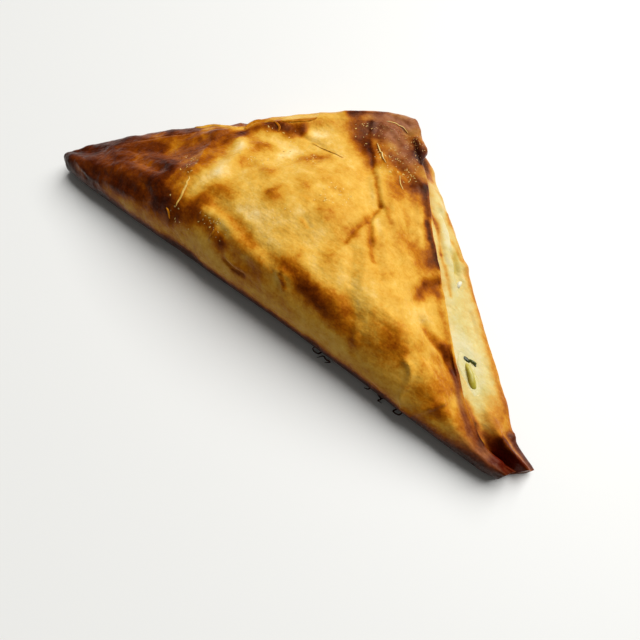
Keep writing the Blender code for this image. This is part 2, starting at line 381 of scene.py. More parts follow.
# Raised folds (+) and creases (-): name, path, width, height
FOLDS = (
    ("upper crease of the fork", (
        (-9, 35.5, 13.5), (-6.5, 30.5, 13), (-1.5, 24, 14), (3.5, 18.5, 15), (10.5, 9, 19),
        (16, 2.5, 20),
    ), 0.8, -0.28),
    ("overlap beside it", (
        (-8.5, 36, 13.5), (-5.5, 31, 13), (-0.5, 24.5, 14.5), (4.5, 19, 15), (12, 10, 19),
        (17, 3.5, 20),
    ), 1.2, 0.55),
    ("left crease of the fork", (
        (16.5, 1.5, 20), (17.5, -4.5, 22), (21.5, -11.5, 23.5), (25.5, -16, 23.5),
    ), 0.8, -0.45),
    ("middle crease of the fork", (
        (17, 2, 20), (17.5, -4, 22), (16.5, -12, 24), (16.5, -18, 25),
    ), 0.9, -0.5),
    ("right crease of the fork", ((17.5, 2.5, 20), (20.5, 0, 21), (23.5, -2.5, 21)), 0.8, -0.3),
    ("left bulge", ((-40, -3, 18), (-34.5, -6.5, 20), (-32.5, -15, 23), (-33, -20.5, 24)), 4.0, 1.3),
    ("hollow beside it", ((-29, -11, 22.5), (-28.5, -15.5, 23.5), (-28, -19.5, 24.5)), 2.6, -0.7),
    ("rear crease", ((-25, 13.5, 16), (-17, 13.5, 16.5), (-12.5, 12.5, 17), (-6, 13, 18)), 0.9, -0.5),
    ("shoulder fold", (
        (-27.5, -35, 24), (-22.5, -35, 24.5), (-18, -35.5, 24.5), (-12, -38, 24), (-4, -38.5, 24),
        (4, -40, 23), (8, -39, 23.5),
    ), 2.0, 0.75),
    ("valley behind it", ((-24, -31.5, 25), (-14, -33.5, 25), (-5, -35, 24.5), (2, -36, 24.5)), 2.4, -0.6),
    ("shoulder fold's end", ((7, -38, 24), (9, -40, 23), (10, -42, 21.5)), 0.9, 0.7),
    ("front wrinkle", ((-13.5, -43.5, 17.5), (-9.5, -44, 16.5), (-5.5, -44, 17)), 0.6, -0.7),
    ("notch in the front shoulder", ((36, -39, 22), (37, -41.5, 20.5), (37.5, -43, 18.5)), 1.2, 0.6),
    ("groove near the lip", (
        (45.5, -20.5, 18), (44.5, -17.5, 17.5), (44.5, -12.5, 15), (47, -8, 13.5),
    ), 2.0, -0.9),
    ("groove into the lip", (
        (51, -24.5, 17), (55, -26.5, 15.5), (58.5, -27, 13.5), (61.5, -27.5, 11.5),
        (64.5, -28.5, 10.5),
    ), 1.8, -1.0),
    ("looped wrinkle", (
        (53, -39, 19.5), (55, -39.5, 18.5), (56.5, -41, 18), (57, -42.5, 16.5), (57, -45, 13.5),
        (57.5, -46.5, 11.5), (59.5, -47.5, 8),
    ), 0.9, 1.3),
    ("looped wrinkle's return", (
        (59.5, -47.5, 8), (62.5, -48, 8), (64.5, -46.5, 11), (66.5, -44.5, 13.5),
        (68.5, -42, 14.5),
    ), 0.8, 1.2),
    ("flank groove", (
        (32.5, 18.5, 9), (39, 14.5, 7.5), (44.5, 7.5, 7.5), (47.5, 5, 7.5), (49, 2, 7.5),
    ), 1.0, -0.8),
    ("flank ridge", ((34, 16, 9.5), (40, 10, 9), (46, 3, 9), (50, -3, 9)), 1.6, 0.5),
    ("flank crease", ((60.5, -7, 6), (65, -11.5, 6), (66.5, -13, 5.5), (67.5, -15.5, 6)), 0.7, -0.4),
    ("crust's rim", (
        (-2.5, 44.5, 11.5), (2, 45.5, 10), (2, 48.5, 7), (10, 38, 12), (13.5, 34.5, 13),
    ), 1.2, 0.9),
    ("gap behind the crust", ((9, 38, 12.5), (12.5, 33.5, 13.5), (16.5, 30, 14)), 1, -0.7),
    ("crust's pale wrinkle", ((-0.5, 28, 14), (3.5, 24.5, 15), (7, 22, 15)), 0.6, 0.5),
    ("crust's ridge", ((-4.5, 37.5, 13), (1, 37.5, 12.5), (7.5, 33.5, 13)), 1.1, 0.6),
    ("crust's crease", ((0, 41.5, 12), (5, 40.5, 10.5)), 0.8, -0.6),
    ("crust's lower crease", ((9, 24.5, 15), (14, 21.5, 15), (19.5, 19, 15)), 1, -0.6),
    ("crust's lower ridge", ((11, 27, 14.5), (17, 24, 14.5), (23, 21, 15)), 1, 0.5),
    ("rib 1", ((18.5, 7, 19), (24, 0.5, 20), (28.5, -5.5, 19.5), (33, -10.5, 19.5)), 1.2, 0.45),
    ("rib 2", ((25.5, 13, 15.5), (30.5, 6.5, 15.5), (35, -0.5, 15.5)), 1.1, 0.5),
    ("rib groove", ((22.5, 8.5, 17.5), (28, 2.5, 17.5), (32.5, -3, 17)), 1.3, -0.45),
    ("flake across the streak", ((-20.5, -41, 21), (-20, -39.5, 22.5), (-20, -38, 23.5)), 0.8, 0.5),
    ("left third wrinkle", ((-74.5, -42, 13), (-65, -42, 14.5), (-55.5, -42, 16)), 1.2, 0.5),
    ("left third wrinkle 3", ((-67.5, -23, 13.5), (-61, -21, 15), (-51.5, -23, 19.5)), 1.8, -0.25),
    ("rear bubble", ((-26.5, 16.5, 16.5), (-23, 15.5, 16)), 2.2, 0.7),
    ("rear bubble 2", ((-19, 15, 16), (-15, 19.5, 15.5)), 3, 0.5),
    ("brown notch", ((-5.5, -41.5, 21), (-1, -42.5, 20.5)), 1.6, -0.4),
    ("front hollow", ((1, -38.5, 24), (5.5, -40.5, 22.5), (8, -41.5, 21.5)), 2, -0.6),
    ("front swell", ((-11, -39, 23.5), (-4.5, -39.5, 23)), 3.4, 0.6),
    ("band swell", ((9, -34, 25.5), (17.5, -36.5, 25), (26.5, -38.5, 23.5)), 4, 0.7),
    ("band hollow", ((29.5, -34.5, 24.5), (34, -38, 23)), 2.4, -0.7),
    ("second band's swell", ((37, -34, 24), (45.5, -35.5, 22)), 4, 0.7),
    ("corner's edge", ((-19, 33.5, 14), (-10, 41.5, 12), (-2, 47, 10.5), (2, 46.5, 9.5)), 2.4, 0.9),
    ("corner's nub", ((6, 43.5, 8.5), (6, 45.5, 7), (10, 41.5, 8)), 2, 1.3),
    ("rear edge's dip", ((-53, 3, 13.5), (-46.5, 5.5, 16), (-46.5, 9, 14)), 2.8, -1.5),
    ("flank's outer bump", ((50, 7.5, 5), (50, 6.5, 5.5)), 1.8, 1.2),
    ("flank's outer bump 2", ((30.5, 22, 8.5), (32.5, 20.5, 8)), 2, 0.7),
    ("tube's swell", ((-99.5, -39, 6.5), (-92.5, -41.5, 9.5)), 3, 0.8),
    ("rear edge's second dip", ((-40, 11.5, 16.5), (-34, 18.5, 16), (-28, 24.5, 15.5)), 2, -0.6),
    ("rear left edge's rise", ((-81, -21.5, 9.5), (-74.5, -16.5, 11), (-68, -11.5, 12.5)), 3, 0.6),
    ("front left edge's dip", ((-37.5, -45.5, 10), (-33.5, -45.5, 9.5), (-30, -45.5, 9.5)), 5, -1),
    ("flank's upper leaf", ((26.5, 20.5, 12), (33.5, 13, 11), (38.5, 8.5, 10.5), (44, 2, 10)), 0.8, -0.6),
    ("flank's lower ridge", ((30.5, 20.5, 9.5), (38, 13.5, 8.5), (43, 9.5, 8), (52, 1.5, 7)), 1, 0.6),
    ("flank's hollow", ((43.5, 7.5, 8.5), (48.5, 3.5, 7.5), (55.5, -5.5, 7.5)), 1.2, -0.6),
    ("flank's wrinkle", ((72, -26, 2.5), (77.5, -31.5, 6.5), (82, -34, 6.5)), 1, 0.5),
    ("flank's wrinkle 2", ((72.5, -19, 5.5), (78.5, -24.5, 5)), 1, -0.4),
    ("tube's top", ((-100, -38, 6), (-97.5, -35.5, 6.5), (-94.5, -33.5, 7)), 3, 0.6),
    ("left rim of the fork", (
        (-5.5, 28, 13), (-2.5, 23, 14.5), (2.5, 18, 15), (10, 8.5, 19), (14, 3, 19.5),
        (15, -4, 22), (14.5, -11.5, 24.5),
    ), 1, 0.45),
    ("pale ridge in the fork", ((17, 0.5, 20), (18.5, -4.5, 22), (23.5, -12, 23)), 0.7, 0.5),
    ("rib 3", ((24, -7, 21.5), (27.5, -11.5, 21.5), (32, -16.5, 22)), 1.2, 0.4),
    ("rib groove 2", ((25.5, -14, 23), (29.5, -18.5, 23.5), (33, -23, 24)), 1.2, -0.4),
    ("rib 4", ((23.5, -17, 24), (27, -22, 24.5), (29.5, -28, 25.5)), 1.4, 0.4),
    ("rib groove 3", ((20, -19.5, 25), (23.5, -24.5, 25.5), (26.5, -30, 25.5)), 1.6, -0.4),
    ("rib 5", ((41, -25, 22.5), (43.5, -28, 22.5), (45.5, -32.5, 23)), 1.4, 0.45),
    ("rib groove 4", ((43.5, -22, 20), (46.5, -25.5, 20), (48.5, -30, 21)), 1.2, -0.4),
    ("rib 6", ((45.5, -18.5, 17), (50, -23, 17)), 1.4, 0.5),
    ("bubble row", ((32.5, -7.5, 18.5), (36, -9, 18)), 1.6, 0.4),
    ("flank's outer ridge", ((34, 21.5, 6), (42, 14.5, 6), (48.5, 9, 5)), 1, 0.5),
    ("shoulder crack", ((7, -39, 23.5), (9.5, -39.5, 23), (10, -41, 21.5)), 0.5, -0.7),
    ("shoulder crack's rim", ((5.5, -39, 23.5), (8, -40, 22.5), (8.5, -41.5, 21)), 0.8, 0.5),
    ("front wrinkle's rim", ((-13, -42.5, 19), (-9, -43.5, 18), (-5, -43, 18.5)), 0.8, 0.4),
    ("dimple", ((2, -20.5, 27), (4.5, -21.5, 26.5)), 1.1, -0.6),
    ("nub by the crest", ((91.5, -34, 3), (92, -34.5, 3)), 1.2, 0.9),
    ("left crown's flat", ((-80, -37, 14), (-67, -32.5, 17.5), (-55, -30.5, 20.5)), 3.4, -0.7),
    ("left shoulder's swell", ((-82, -29, 11), (-75, -25, 12), (-60, -13, 15), (-50, -5, 17)), 4, 1.1),
    ("mouth's opening", ((93.5, -45.3, 8.5), (96.5, -46, 8.6)), 1.5, -1),
    ("wrap's edge", ((-88.5, -41, 11), (-80, -43, 11), (-74, -43.5, 11.5)), 0.8, 0.5),
    ("corner's right side", ((3, 47, 8.5), (13.5, 35, 13), (19.5, 34, 7)), 3, 1.3),
)
# Torn or folded leaf edges: the leaf lies on the left of the path. Name, path, height, fade
LEAF_EDGES = (
    ("rolled tip's outer leaf", (
        (-38, -42.5, 17.5), (-38, -39, 21), (-38.5, -33, 23.5), (-39.5, -26.5, 24),
        (-41.5, -20.5, 23), (-45, -14.5, 20), (-47.5, -5.5, 17.5), (-46.5, 0.5, 16.5),
    ), 0.8, 6.0),
)
# Browning and painted light: name, path, width, amount. Pale is negative. Most strokes are the leaf's
# own browning, but the strokes named shade, the bulge's shaded side, the valley, the crust's fold,
# the gap behind the crust and the side left of the fork's crease are painted shade, and the bulge's
# and the shoulder's crests, the pale in the fork and the rib pale are painted highlight. The strokes
# in the open tip's mouth paint it dark. A short narrow stroke is also a blister, which stands up,
# or a pale dent.
BROWNING_AND_PAINTED_LIGHT = (
    ("left third", ((-96, -40, 6), (-84, -38, 13), (-66, -38, 17)), 9, 0.08),
    ("left lower streak", (
        (-79, -42, 13), (-69, -42, 14), (-58, -41, 16), (-50, -38, 20), (-43, -37, 21),
    ), 4, 0.1),
    ("left upper streak", ((-90, -30, 8), (-83, -24, 9), (-75, -16, 11), (-69, -10, 11)), 2.6, 0.16),
    ("left knot", ((-44, -25, 23), (-40, -26, 24)), 2.6, 0.26),
    ("left knot 2", ((-50, -29, 21), (-49, -34, 22)), 3, 0.12),
    ("rear left edge", ((-70, -10, 10), (-62, -5, 12)), 2.5, 0.14),
    # The bulge's shaded side is painted shade, and its lit crest is painted highlight.
    ("bulge's shaded side", ((-41, -18, 23), (-40, -13, 21), (-31, -13, 23)), 3, 0.2),
    ("bulge's lit crest", ((-39, -3, 18), (-34, -10, 21), (-33, -20, 24), (-34, -26, 24)), 3, -0.26),
    ("bulge spot", ((-32, -27, 25), (-26, -26, 25)), 3, 0.24),
    ("bulge spot 2", ((-31, -32, 24), (-29, -32, 24)), 2.4, 0.26),
    ("rear spot", ((-32, 0, 18),), 2.5, 0.2),
    ("rear torn edge", ((-42, 2, 17), (-40, 9, 17), (-34, 12, 17)), 2.5, 0.22),
    ("rear streak", ((-34, 12, 17), (-29, 15, 17), (-26, 16, 16), (-22, 14, 16)), 2.4, 0.34),
    ("rear crease", ((-27, 10, 16), (-18, 8, 17), (-11, 7, 19)), 1.2, 0.1),
    ("rear patch", ((-15, 2, 20), (-13, 6, 19), (-11, 9, 19)), 3, 0.22),
    ("ring spot", ((-21, -11, 24), (-20, -11, 24)), 3, 0.3),
    ("dark spot", ((-12, -19, 27), (-11, -20, 27)), 2.4, 0.22),
    ("dark spot's tail", ((-13, -18, 27), (-12, -14, 26)), 1.6, 0.08),
    ("soft spot 1", ((-5, -10, 26), (-4, -10, 26)), 2.6, 0.16),
    ("soft spot 2", ((-1, -15, 27), (-1, -16, 27)), 2.2, 0.12),
    ("soft spot 3", ((-5, -21, 27), (-4, -21, 27)), 2.4, 0.12),
    ("soft spot 4", ((6, -14, 27), (7, -15, 26)), 4, 0.2),
    ("soft spot 5", ((16, -26, 26), (17, -27, 26)), 4, 0.18),
    ("shoulder streak", ((-46, -40, 18), (-39, -40, 19), (-32, -39, 21)), 3.2, 0.26),
    ("shoulder streak's core", (
        (-32, -36, 23), (-27, -38, 23), (-22, -38, 23), (-19, -39, 23), (-17, -40, 22),
    ), 2.4, 0.4),
    # Painted highlight along the shoulder fold's crest, and painted shade in the valley behind it.
    ("shoulder crest", ((-24, -35, 24), (-18, -36, 25), (-13, -35, 25)), 2, -0.04),
    ("valley", ((-29, -32, 25), (-21, -32, 25), (-14, -34, 25), (-7, -36, 25)), 2.6, 0.17),
    ("front patch", ((-15, -41, 21), (-8, -42, 20)), 5, 0.12),
    ("front patch 2", ((-1, -42, 21), (5, -43, 20)), 4, 0.1),
    ("band's olive start", ((3, -36, 25), (7, -36, 25)), 3.4, 0.06),
    ("band's core", (
        (8, -36, 25), (13, -37, 24), (17, -39, 23), (23, -40, 22), (29, -41, 21), (36, -42, 19),
    ), 3.2, 0.34),
    ("band's darkest part", ((16, -39, 23), (22, -40, 22)), 2.4, 0.16),
    ("band's orange rim", ((11, -35, 25), (19, -36, 25), (26, -36, 24), (32, -37, 23)), 2.4, 0.1),
    ("second band", ((41, -40, 21), (46, -40, 20), (51, -39, 20)), 3.2, 0.12),
    ("second band's rim", ((39, -34, 24), (44, -35, 23), (46, -37, 22)), 3.4, 0.14),
    ("fork shade", ((-5, 28, 13), (3, 19, 15), (11, 9, 19), (17, 2, 20)), 0.8, 0.26),
    ("fork's middle", ((17, 0, 20), (17, -5, 22), (17, -12, 24), (17, -18, 25)), 1.1, 0.24),
    ("fork's left end", ((18, -7, 23), (23, -13, 23), (28, -19, 24)), 1.2, 0.2),
    ("fork's right branch", ((19, 2, 20), (23, -2, 21)), 1, 0.16),
    ("rib shade 1", ((24, 7, 17), (28, 3, 17)), 1.6, 0.12),
    ("rib shade 2", ((20, 18, 15), (24, 14, 16)), 1.8, 0.16),
    ("rib shade 3", ((27, -10, 21), (30, -9, 20)), 3, 0.08),
    ("crust", ((-7, 38, 13), (-1, 43, 12), (2, 49, 6), (12, 34, 13), (12, 28, 14)), 6.5, 0.1),
    ("crust's lower part", ((2, 26, 15), (9, 25, 15), (16, 23, 15), (23, 21, 15)), 3, 0.26),
    # Painted shade along the fold's crease.
    ("crust's fold", ((-9, 35, 14), (-7, 30, 13), (-2, 24, 14), (3, 19, 15)), 1.4, 0.16),
    ("crust's olive edge", ((-13, 28, 14), (-8, 25, 14), (-3, 21, 15)), 4, 0.2),
    ("orange streak", ((4, 20, 15), (9, 20, 16), (14, 17, 16)), 3, 0.17),
    ("dab", ((47, -7, 13), (44, -11, 15), (44, -15, 17), (45, -18, 18)), 2, 0.34),
    ("lip streak", ((52, -26, 17), (57, -26, 14), (61, -26, 11)), 1.6, 0.26),
    ("lip streak's end", ((62, -27, 11), (66, -30, 11), (70, -33, 10)), 1.3, 0.3),
    ("lip band", ((32, 9, 15), (38, 3, 14), (44, -3, 13)), 1, 0.55),
    ("lip's lower band", ((74, -35, 7), (80, -39, 7), (84, -43, 9)), 1.2, 0.46),
    ("crust of the open tip", ((82, -47, 10), (86, -48, 10), (91, -47, 9)), 3.6, 0.06),
    ("brown by the loop", ((50, -36, 21), (46, -34, 22)), 4, 0.17),
    ("loop's inside", ((60, -43, 16), (64, -43, 15), (63, -45, 13)), 4, 0.22),
    ("loop's mottle", ((66, -47, 10), (70, -47, 10)), 4, 0.14),
    ("orange by the lip", ((68, -38, 13), (73, -42, 13)), 2.5, 0.1),
    # Darker in the open tip's hollow.
    ("mouth hollow", ((84, -40, 5), (88, -41, 4), (91, -42, 3)), 2, 0.4),
    ("flank's orange streak", ((29, 17, 12), (34, 13, 11), (38, 9, 10), (42, 4, 10)), 1.1, 0.44),
    ("flank's upper end", ((14, 32, 14), (17, 32, 11), (22, 29, 10)), 2.4, 0.38),
    ("flank's outer edge", (
        (34, 21, 6), (45, 13, 5), (50, 7, 5), (59, -1, 4), (67, -10, 4), (79, -22, 4),
        (86, -29, 3),
    ), 1.2, 0.2),
    ("flank's olive groove", ((45, 9, 7), (47, 6, 7), (49, 3, 8)), 0.8, 0.16),
    ("rolled tip's end", ((-98, -40, 8), (-97, -42, 7), (-92, -44, 6)), 3.2, 0.7),
    # Painted shade in the gap behind the crust.
    ("gap behind the crust", ((9, 38, 12), (12, 34, 13), (17, 30, 14)), 1.2, 0.34),
    ("left zone by the sliver", ((-46, -36, 21), (-40, -36, 22), (-34, -36, 23)), 4.5, 0.02),
    ("rear left top", ((-89, -30, 8), (-77, -25, 11), (-64, -21, 14)), 4.5, 0.2),
    ("crust's upper left", ((-16, 35, 14), (-12, 32, 14), (-8, 28, 13), (-3, 24, 14)), 3.2, 0.34),
    ("crust's middle", ((15, 12, 18), (19, 11, 17)), 3, 0.14),
    ("under the crust", ((12, 17, 17), (17, 17, 16), (21, 19, 15)), 3.2, 0.24),
    ("by the lip's start", ((30, -4, 19), (35, -4, 16), (40, -4, 15)), 3.4, 0.06),
    ("loop's surround", ((55, -34, 19), (60, -36, 18), (65, -40, 16), (69, -42, 14)), 4.6, 0.05),
    ("rear edge patch", ((-40, 6, 17), (-36, 10, 17), (-31, 12, 17)), 2.6, 0.2),
    ("rear edge patch 2", ((-28, 11, 16), (-26, 14, 16)), 2.2, 0.3),
    ("centre patch", ((15, -17, 25), (16, -14, 25)), 3, 0.12),
    ("front end patch", ((40, -44, 17), (46, -43, 17), (51, -43, 16)), 4.2, 0.14),
    ("wall mottle", ((-11, -43, 18), (2, -44, 17), (18, -44, 17)), 3, 0.08),
    ("lip band's lower half", ((48, -11, 13), (53, -16, 13), (59, -22, 12)), 1.5, 0.16),
    ("ribs", ((27, -3, 20), (32, -3, 17), (39, -5, 15)), 4, 0.14),
    ("by the lip's foot", ((60, -30, 14), (65, -33, 12), (69, -36, 12)), 2, 0.1),
    ("by the lip's foot 2", ((73, -40, 12), (77, -44, 11)), 2, 0.1),
    ("band's middle", ((27, -37, 24), (30, -37, 24)), 3.2, 0.16),
    ("pale by the loop", ((60, -47, 12), (66, -47, 12), (71, -47, 11)), 4, -0.14),
    ("pale middle", ((-14, -21, 27), (-7, -22, 27), (1, -23, 27)), 6, -0.06),
    ("pale middle 2", ((15, -19, 25), (23, -27, 26)), 5, -0.04),
    ("pale before the band", ((12, -35, 25), (18, -34, 25)), 3.5, -0.12),
    ("left zone", ((-41, -40, 20), (-34, -41, 19), (-27, -41, 20)), 4, 0.16),
    ("rear left patch", ((-42, 1, 17), (-33, -3, 20), (-32, -9, 21)), 3, 0.22),
    ("rear edge patch 3", ((-27, 19, 16), (-20, 25, 16)), 2.6, 0.16),
    ("pale by the rear streak", ((-22, 14, 16), (-22, 17, 16)), 2.6, -0.34),
    ("pale before the patch", ((-23, 0, 20), (-21, 5, 18)), 3, -0.2),
    ("round the tear", ((63, -25, 11), (64, -19, 8), (73, -24, 6), (77, -31, 7)), 4, -0.2),
    ("soft spot 6", ((-33, 0, 19), (-31, 1, 19)), 3, 0.18),
    ("soft spot 7", ((-22, -27, 26), (-21, -27, 26)), 2.2, 0.14),
    ("soft spot 8", ((1, -26, 26), (3, -27, 26)), 3.5, 0.08),
    ("soft spot 9", ((-10, 0, 22), (-8, 0, 23)), 2.2, 0.1),
    ("rolled amber", ((-68, -37, 17), (-62, -36, 19)), 3.5, -0.1),
    ("rear rim of the corner", ((-17, 34, 14), (-11, 40, 12), (-6, 46, 10), (-2, 48, 10)), 1.6, 0.34),
    ("pale beside the dab", ((48, -24, 19), (50, -25, 18)), 3, -0.06),
    ("pale before the lip's foot", ((70, -39, 13), (72, -41, 13)), 3, -0.16),
    ("flank's orange streak 2", ((42, 4, 10), (47, -2, 10), (52, -8, 9)), 0.9, 0.32),
    ("flank's pale field", ((52, -10, 10), (59, -17, 9), (64, -22, 8)), 4, -0.12),
    ("lip edge's top", ((59, -25, 13), (62, -27, 11)), 1.8, 0.3),
    ("right of the loop", ((57, -31, 16), (61, -33, 15), (65, -38, 15)), 4, 0.06),
    ("before the tip", ((76, -41, 11), (80, -43, 10), (84, -45, 10)), 2.4, 0.13),
    ("upper lip", ((24, 21, 15), (27, 17, 15), (31, 12, 15)), 1.7, 0.42),
    ("ribs 2", ((32, -10, 20), (38, -10, 17)), 3, 0.04),
    ("rolled tip's start", ((-94, -40, 10), (-92, -35, 8), (-87, -32, 9)), 3.4, 0.2),
    ("left base", ((-77, -41, 13), (-66, -39, 17), (-57, -37, 19)), 6, 0.08),
    ("left base 2", ((-62, -27, 17), (-54, -27, 20)), 3, 0.14),
    ("bulge's foot", ((-19, -37, 24), (-16, -38, 24)), 2.4, -0.16),
    ("rear pale", ((-19, 17, 16), (-18, 23, 15)), 3.4, -0.14),
    ("flank's outer spots", ((27, 27, 7), (29, 27, 6)), 1, 0.2),
    ("flank's outer spots 2", ((34, 21, 7), (37, 18, 7)), 1, 0.1),
    # Painted highlight on the pale ridge in the fork and on a rib's ridge.
    ("pale in the fork", ((19, -4, 22), (23, -9, 23)), 1, -0.14),
    ("rib pale", ((29, 9, 15), (35, 0, 15)), 1.1, -0.14),
    ("lip glow", ((32, 7, 15), (37, 2, 15), (42, -4, 14)), 2, 0.14),
    ("flank's pale ledge", ((32, 19, 9), (38, 13, 9), (42, 9, 9)), 1.3, -0.2),
    ("flank's leaf line", ((30, 21, 9), (39, 13, 8), (44, 11, 7), (48, 8, 6)), 0.6, 0.2),
    ("dimple", ((2, -21, 27), (4, -22, 26)), 1, 0.2),
    ("fold's upper shade", ((-18, -31, 25), (-12, -33, 25), (-6, -35, 25)), 1.8, 0.08),
    ("fold's lower shade", ((-15, -40, 22), (-7, -41, 22), (1, -41, 22)), 3, 0.14),
    ("pale field", ((-18, -29, 26), (-11, -28, 26)), 3, -0.12),
    ("dark spot's halo", ((-14, -18, 26), (-10, -18, 27)), 4.5, 0.12),
    ("before the band", ((3, -37, 24), (8, -39, 23)), 3, 0.02),
    ("right of the band", ((39, -39, 22), (44, -41, 20)), 4, 0.04),
    ("crust's left dark", ((-8, 35, 14), (-4, 32, 13), (0, 30, 14)), 2.4, 0.3),
    ("pale crust spot", ((10, 18, 16), (13, 17, 17)), 2.6, -0.24),
    # The open tip's mouth is painted dark, darkest in its hollow.
    ("mouth's opening", ((92, -45, 8), (95, -46, 9), (97, -45, 8)), 1.9, 0.8),
    ("mouth's floor", ((91, -43, 3), (94, -43, 4), (97, -43, 5)), 2, 0.6),
    ("front wall's pale rim", ((88, -47, 9), (91, -48, 9), (93, -49, 7)), 0.8, -0.08),
    ("mouth's red wall", ((89, -39, 7), (93, -41, 7), (97, -42, 7)), 1.8, 0.6),
    ("behind the crest", ((91, -35, 4), (95, -37, 3), (99, -39, 3)), 1.8, 0.3),
    ("wrap's edge", ((-88, -41, 11), (-80, -43, 11), (-74, -43, 11)), 1.2, 0.3),
    ("tube's front", ((-91, -42, 10), (-82, -44, 10), (-72, -44, 10), (-59, -44, 11)), 2.6, -0.1),
    ("left dark 1", ((-92, -36, 8), (-81, -38, 14), (-76, -40, 14)), 3.2, 0.2),
    ("left dark 2", ((-86, -29, 9), (-75, -32, 14)), 2, 0.2),
    ("left dark 3", ((-66, -41, 15), (-60, -41, 16), (-54, -41, 17)), 2.6, 0.24),
    ("left dark 4", ((-56, -35, 20), (-49, -35, 21)), 2, 0.16),
    ("left dark 5", ((-51, -37, 20), (-46, -39, 20)), 1.8, 0.14),
    ("left dark 6", ((-45, -39, 20), (-38, -37, 22)), 2, 0.16),
    ("left dark 7", ((-53, -26, 20), (-50, -27, 21)), 1.5, 0.24),
    ("left gold 1", ((-71, -27, 14), (-60, -30, 19)), 3, -0.2),
    ("left gold 2", ((-79, -18, 9), (-70, -15, 12)), 2.2, -0.16),
    ("left gold 3", ((-60, -21, 16), (-60, -16, 15)), 2.4, -0.16),
    ("left gold 4", ((-54, -38, 19), (-50, -39, 19)), 2, -0.16),
    ("left gold 5", ((-54, -30, 21), (-46, -32, 23)), 2.4, -0.12),
    ("left gold 6", ((-46, -29, 23), (-41, -32, 23)), 2.2, -0.06),
    ("flank's upper pale", ((38, 10, 10), (45, 3, 9), (52, -4, 9)), 3.2, -0.14),
    ("dab's lower side", ((46, -16, 16), (47, -12, 14), (50, -11, 13)), 2, 0.16),
    ("lip's dark edge", ((61, -24, 11), (64, -26, 11), (67, -29, 10)), 1.3, 0.4),
    ("lip's dark edge 2", ((68, -44, 14), (71, -44, 13)), 2.2, 0.2),
    ("crest's dark foot", ((82, -34, 6), (86, -36, 7)), 1.8, 0.2),
    # Painted shade on the shaded side of the fork's crease.
    ("left of the fork's crease", ((-3, 23, 15), (3, 15, 15)), 2, 0.16),
    ("pale middle 3", ((-6, -20, 27), (2, -22, 27), (9, -22, 26)), 5, -0.08),
    ("pale between the bands", ((29, -30, 25), (34, -36, 24), (37, -41, 21)), 2.2, -0.05),
    ("rear edge's pale line", ((-56, -4, 15), (-51, 0, 16), (-46, 3, 16), (-41, 8, 17)), 2.2, -0.3),
    ("shoulder pale", ((-2, -38, 24), (3, -39, 24), (8, -40, 23)), 2.2, -0.05),
    ("pale under the loop's crest", ((42, -34, 23), (46, -33, 23), (51, -34, 21)), 2.4, -0.08),
    ("rear pale 2", ((-33, 1, 19), (-31, 4, 18), (-27, 4, 18)), 2.4, -0.16),
    ("rear pale 3", ((-17, 20, 16), (-12, 17, 16), (-7, 13, 18)), 3, -0.08),
    ("left zone's edge", ((-45, -30, 23), (-39, -33, 23), (-35, -35, 23)), 4, 0.16),
    ("front wrinkle", ((-14, -44, 18), (-9, -44, 16), (-5, -44, 17)), 0.6, 0.22),
    ("shoulder crack", ((7, -39, 24), (9, -40, 23), (10, -41, 21)), 0.6, 0.34),
    ("pale low", ((17, -28, 26), (24, -27, 26), (25, -22, 25)), 4, -0.07),
    ("top's warmth", ((1, -3, 24), (9, -7, 25)), 5, 0.04),
    ("left rear shade", (
        (-90, -39, 11), (-82, -35, 12), (-77, -29, 12), (-70, -23, 13), (-67, -18, 13),
    ), 4.5, 0.13),
    ("left rear shade 2", ((-72, -29, 15), (-63, -30, 18), (-53, -31, 21)), 4, 0.1),
    ("fork's left shade", ((20, -13, 24), (25, -16, 24), (29, -19, 24)), 6, 0.07),
    ("lip's left shade", ((21, 8, 18), (23, 15, 16), (26, 16, 15)), 6, 0.07),
    ("lip's left shade 2", ((30, 10, 15), (35, 5, 15), (42, -2, 14)), 3.5, 0.08),
    ("left gold 7", ((-60, -44, 12), (-54, -42, 15), (-49, -42, 17)), 4, -0.12),
    ("left gold 8", ((-53, -38, 19), (-49, -37, 20)), 3, -0.08),
    ("flank's amber", ((81, -30, 6), (84, -31, 5), (86, -32, 5)), 3, 0.2),
)
# The scorched crust: name, path, width, amount
SCORCH = (
    ("square corner", ((-7, 41, 13), (-1, 42, 12), (3, 46, 8)), 5.5, 1.0),
    ("beside the fold", ((-2, 35, 13), (5, 34, 13), (11, 31, 14)), 5.5, 1.0),
    ("under the corner", ((14, 27, 14), (20, 22, 15), (23, 19, 15)), 2.5, 0.3),
    ("lip", ((26, 18, 13), (21, 26, 12), (15, 33, 12)), 2, 0.5),
    ("lower lip", ((66, -30, 10), (73, -38, 10), (80, -44, 9)), 1.1, 0.8),
    ("open tip", ((80, -49, 6), (88, -48, 8), (95, -47, 7)), 5, 1.0),
    ("rolled tip", ((-95, -42, 8), (-88, -43, 9), (-79, -44, 10), (-72, -45, 9)), 3, 0.7),
    ("behind the crest", ((91, -35, 4), (95, -37, 3), (99, -39, 3)), 1.8, 1),
    ("rolled tip's front", ((-77, -45, 6), (-65, -45, 6), (-49, -45, 7)), 2.5, 0.5),
    ("mouth", ((88, -42, 3), (92, -44, 6), (95, -46, 9), (97, -45, 8)), 2.2, -1.2),
)
# Where the spinach shows through the thin leaf: name, path, width, amount
GREENING = (
    ("flank's groove", ((45, 9, 7), (47, 6, 7), (49, 3, 8)), 1.2, 0.9),
    ("beside the stem", ((66, -22, 7), (71, -24, 3), (76, -28, 5)), 2.4, 0.7),
    ("above the tear", ((58, -13, 9), (63, -17, 8)), 2.6, 0.35),
    ("below the tear", ((78, -32, 7), (82, -35, 7)), 3, 0.3),
    ("upper flank", ((42, 7, 9), (50, -1, 9), (55, -7, 8)), 2, 0.3),
)
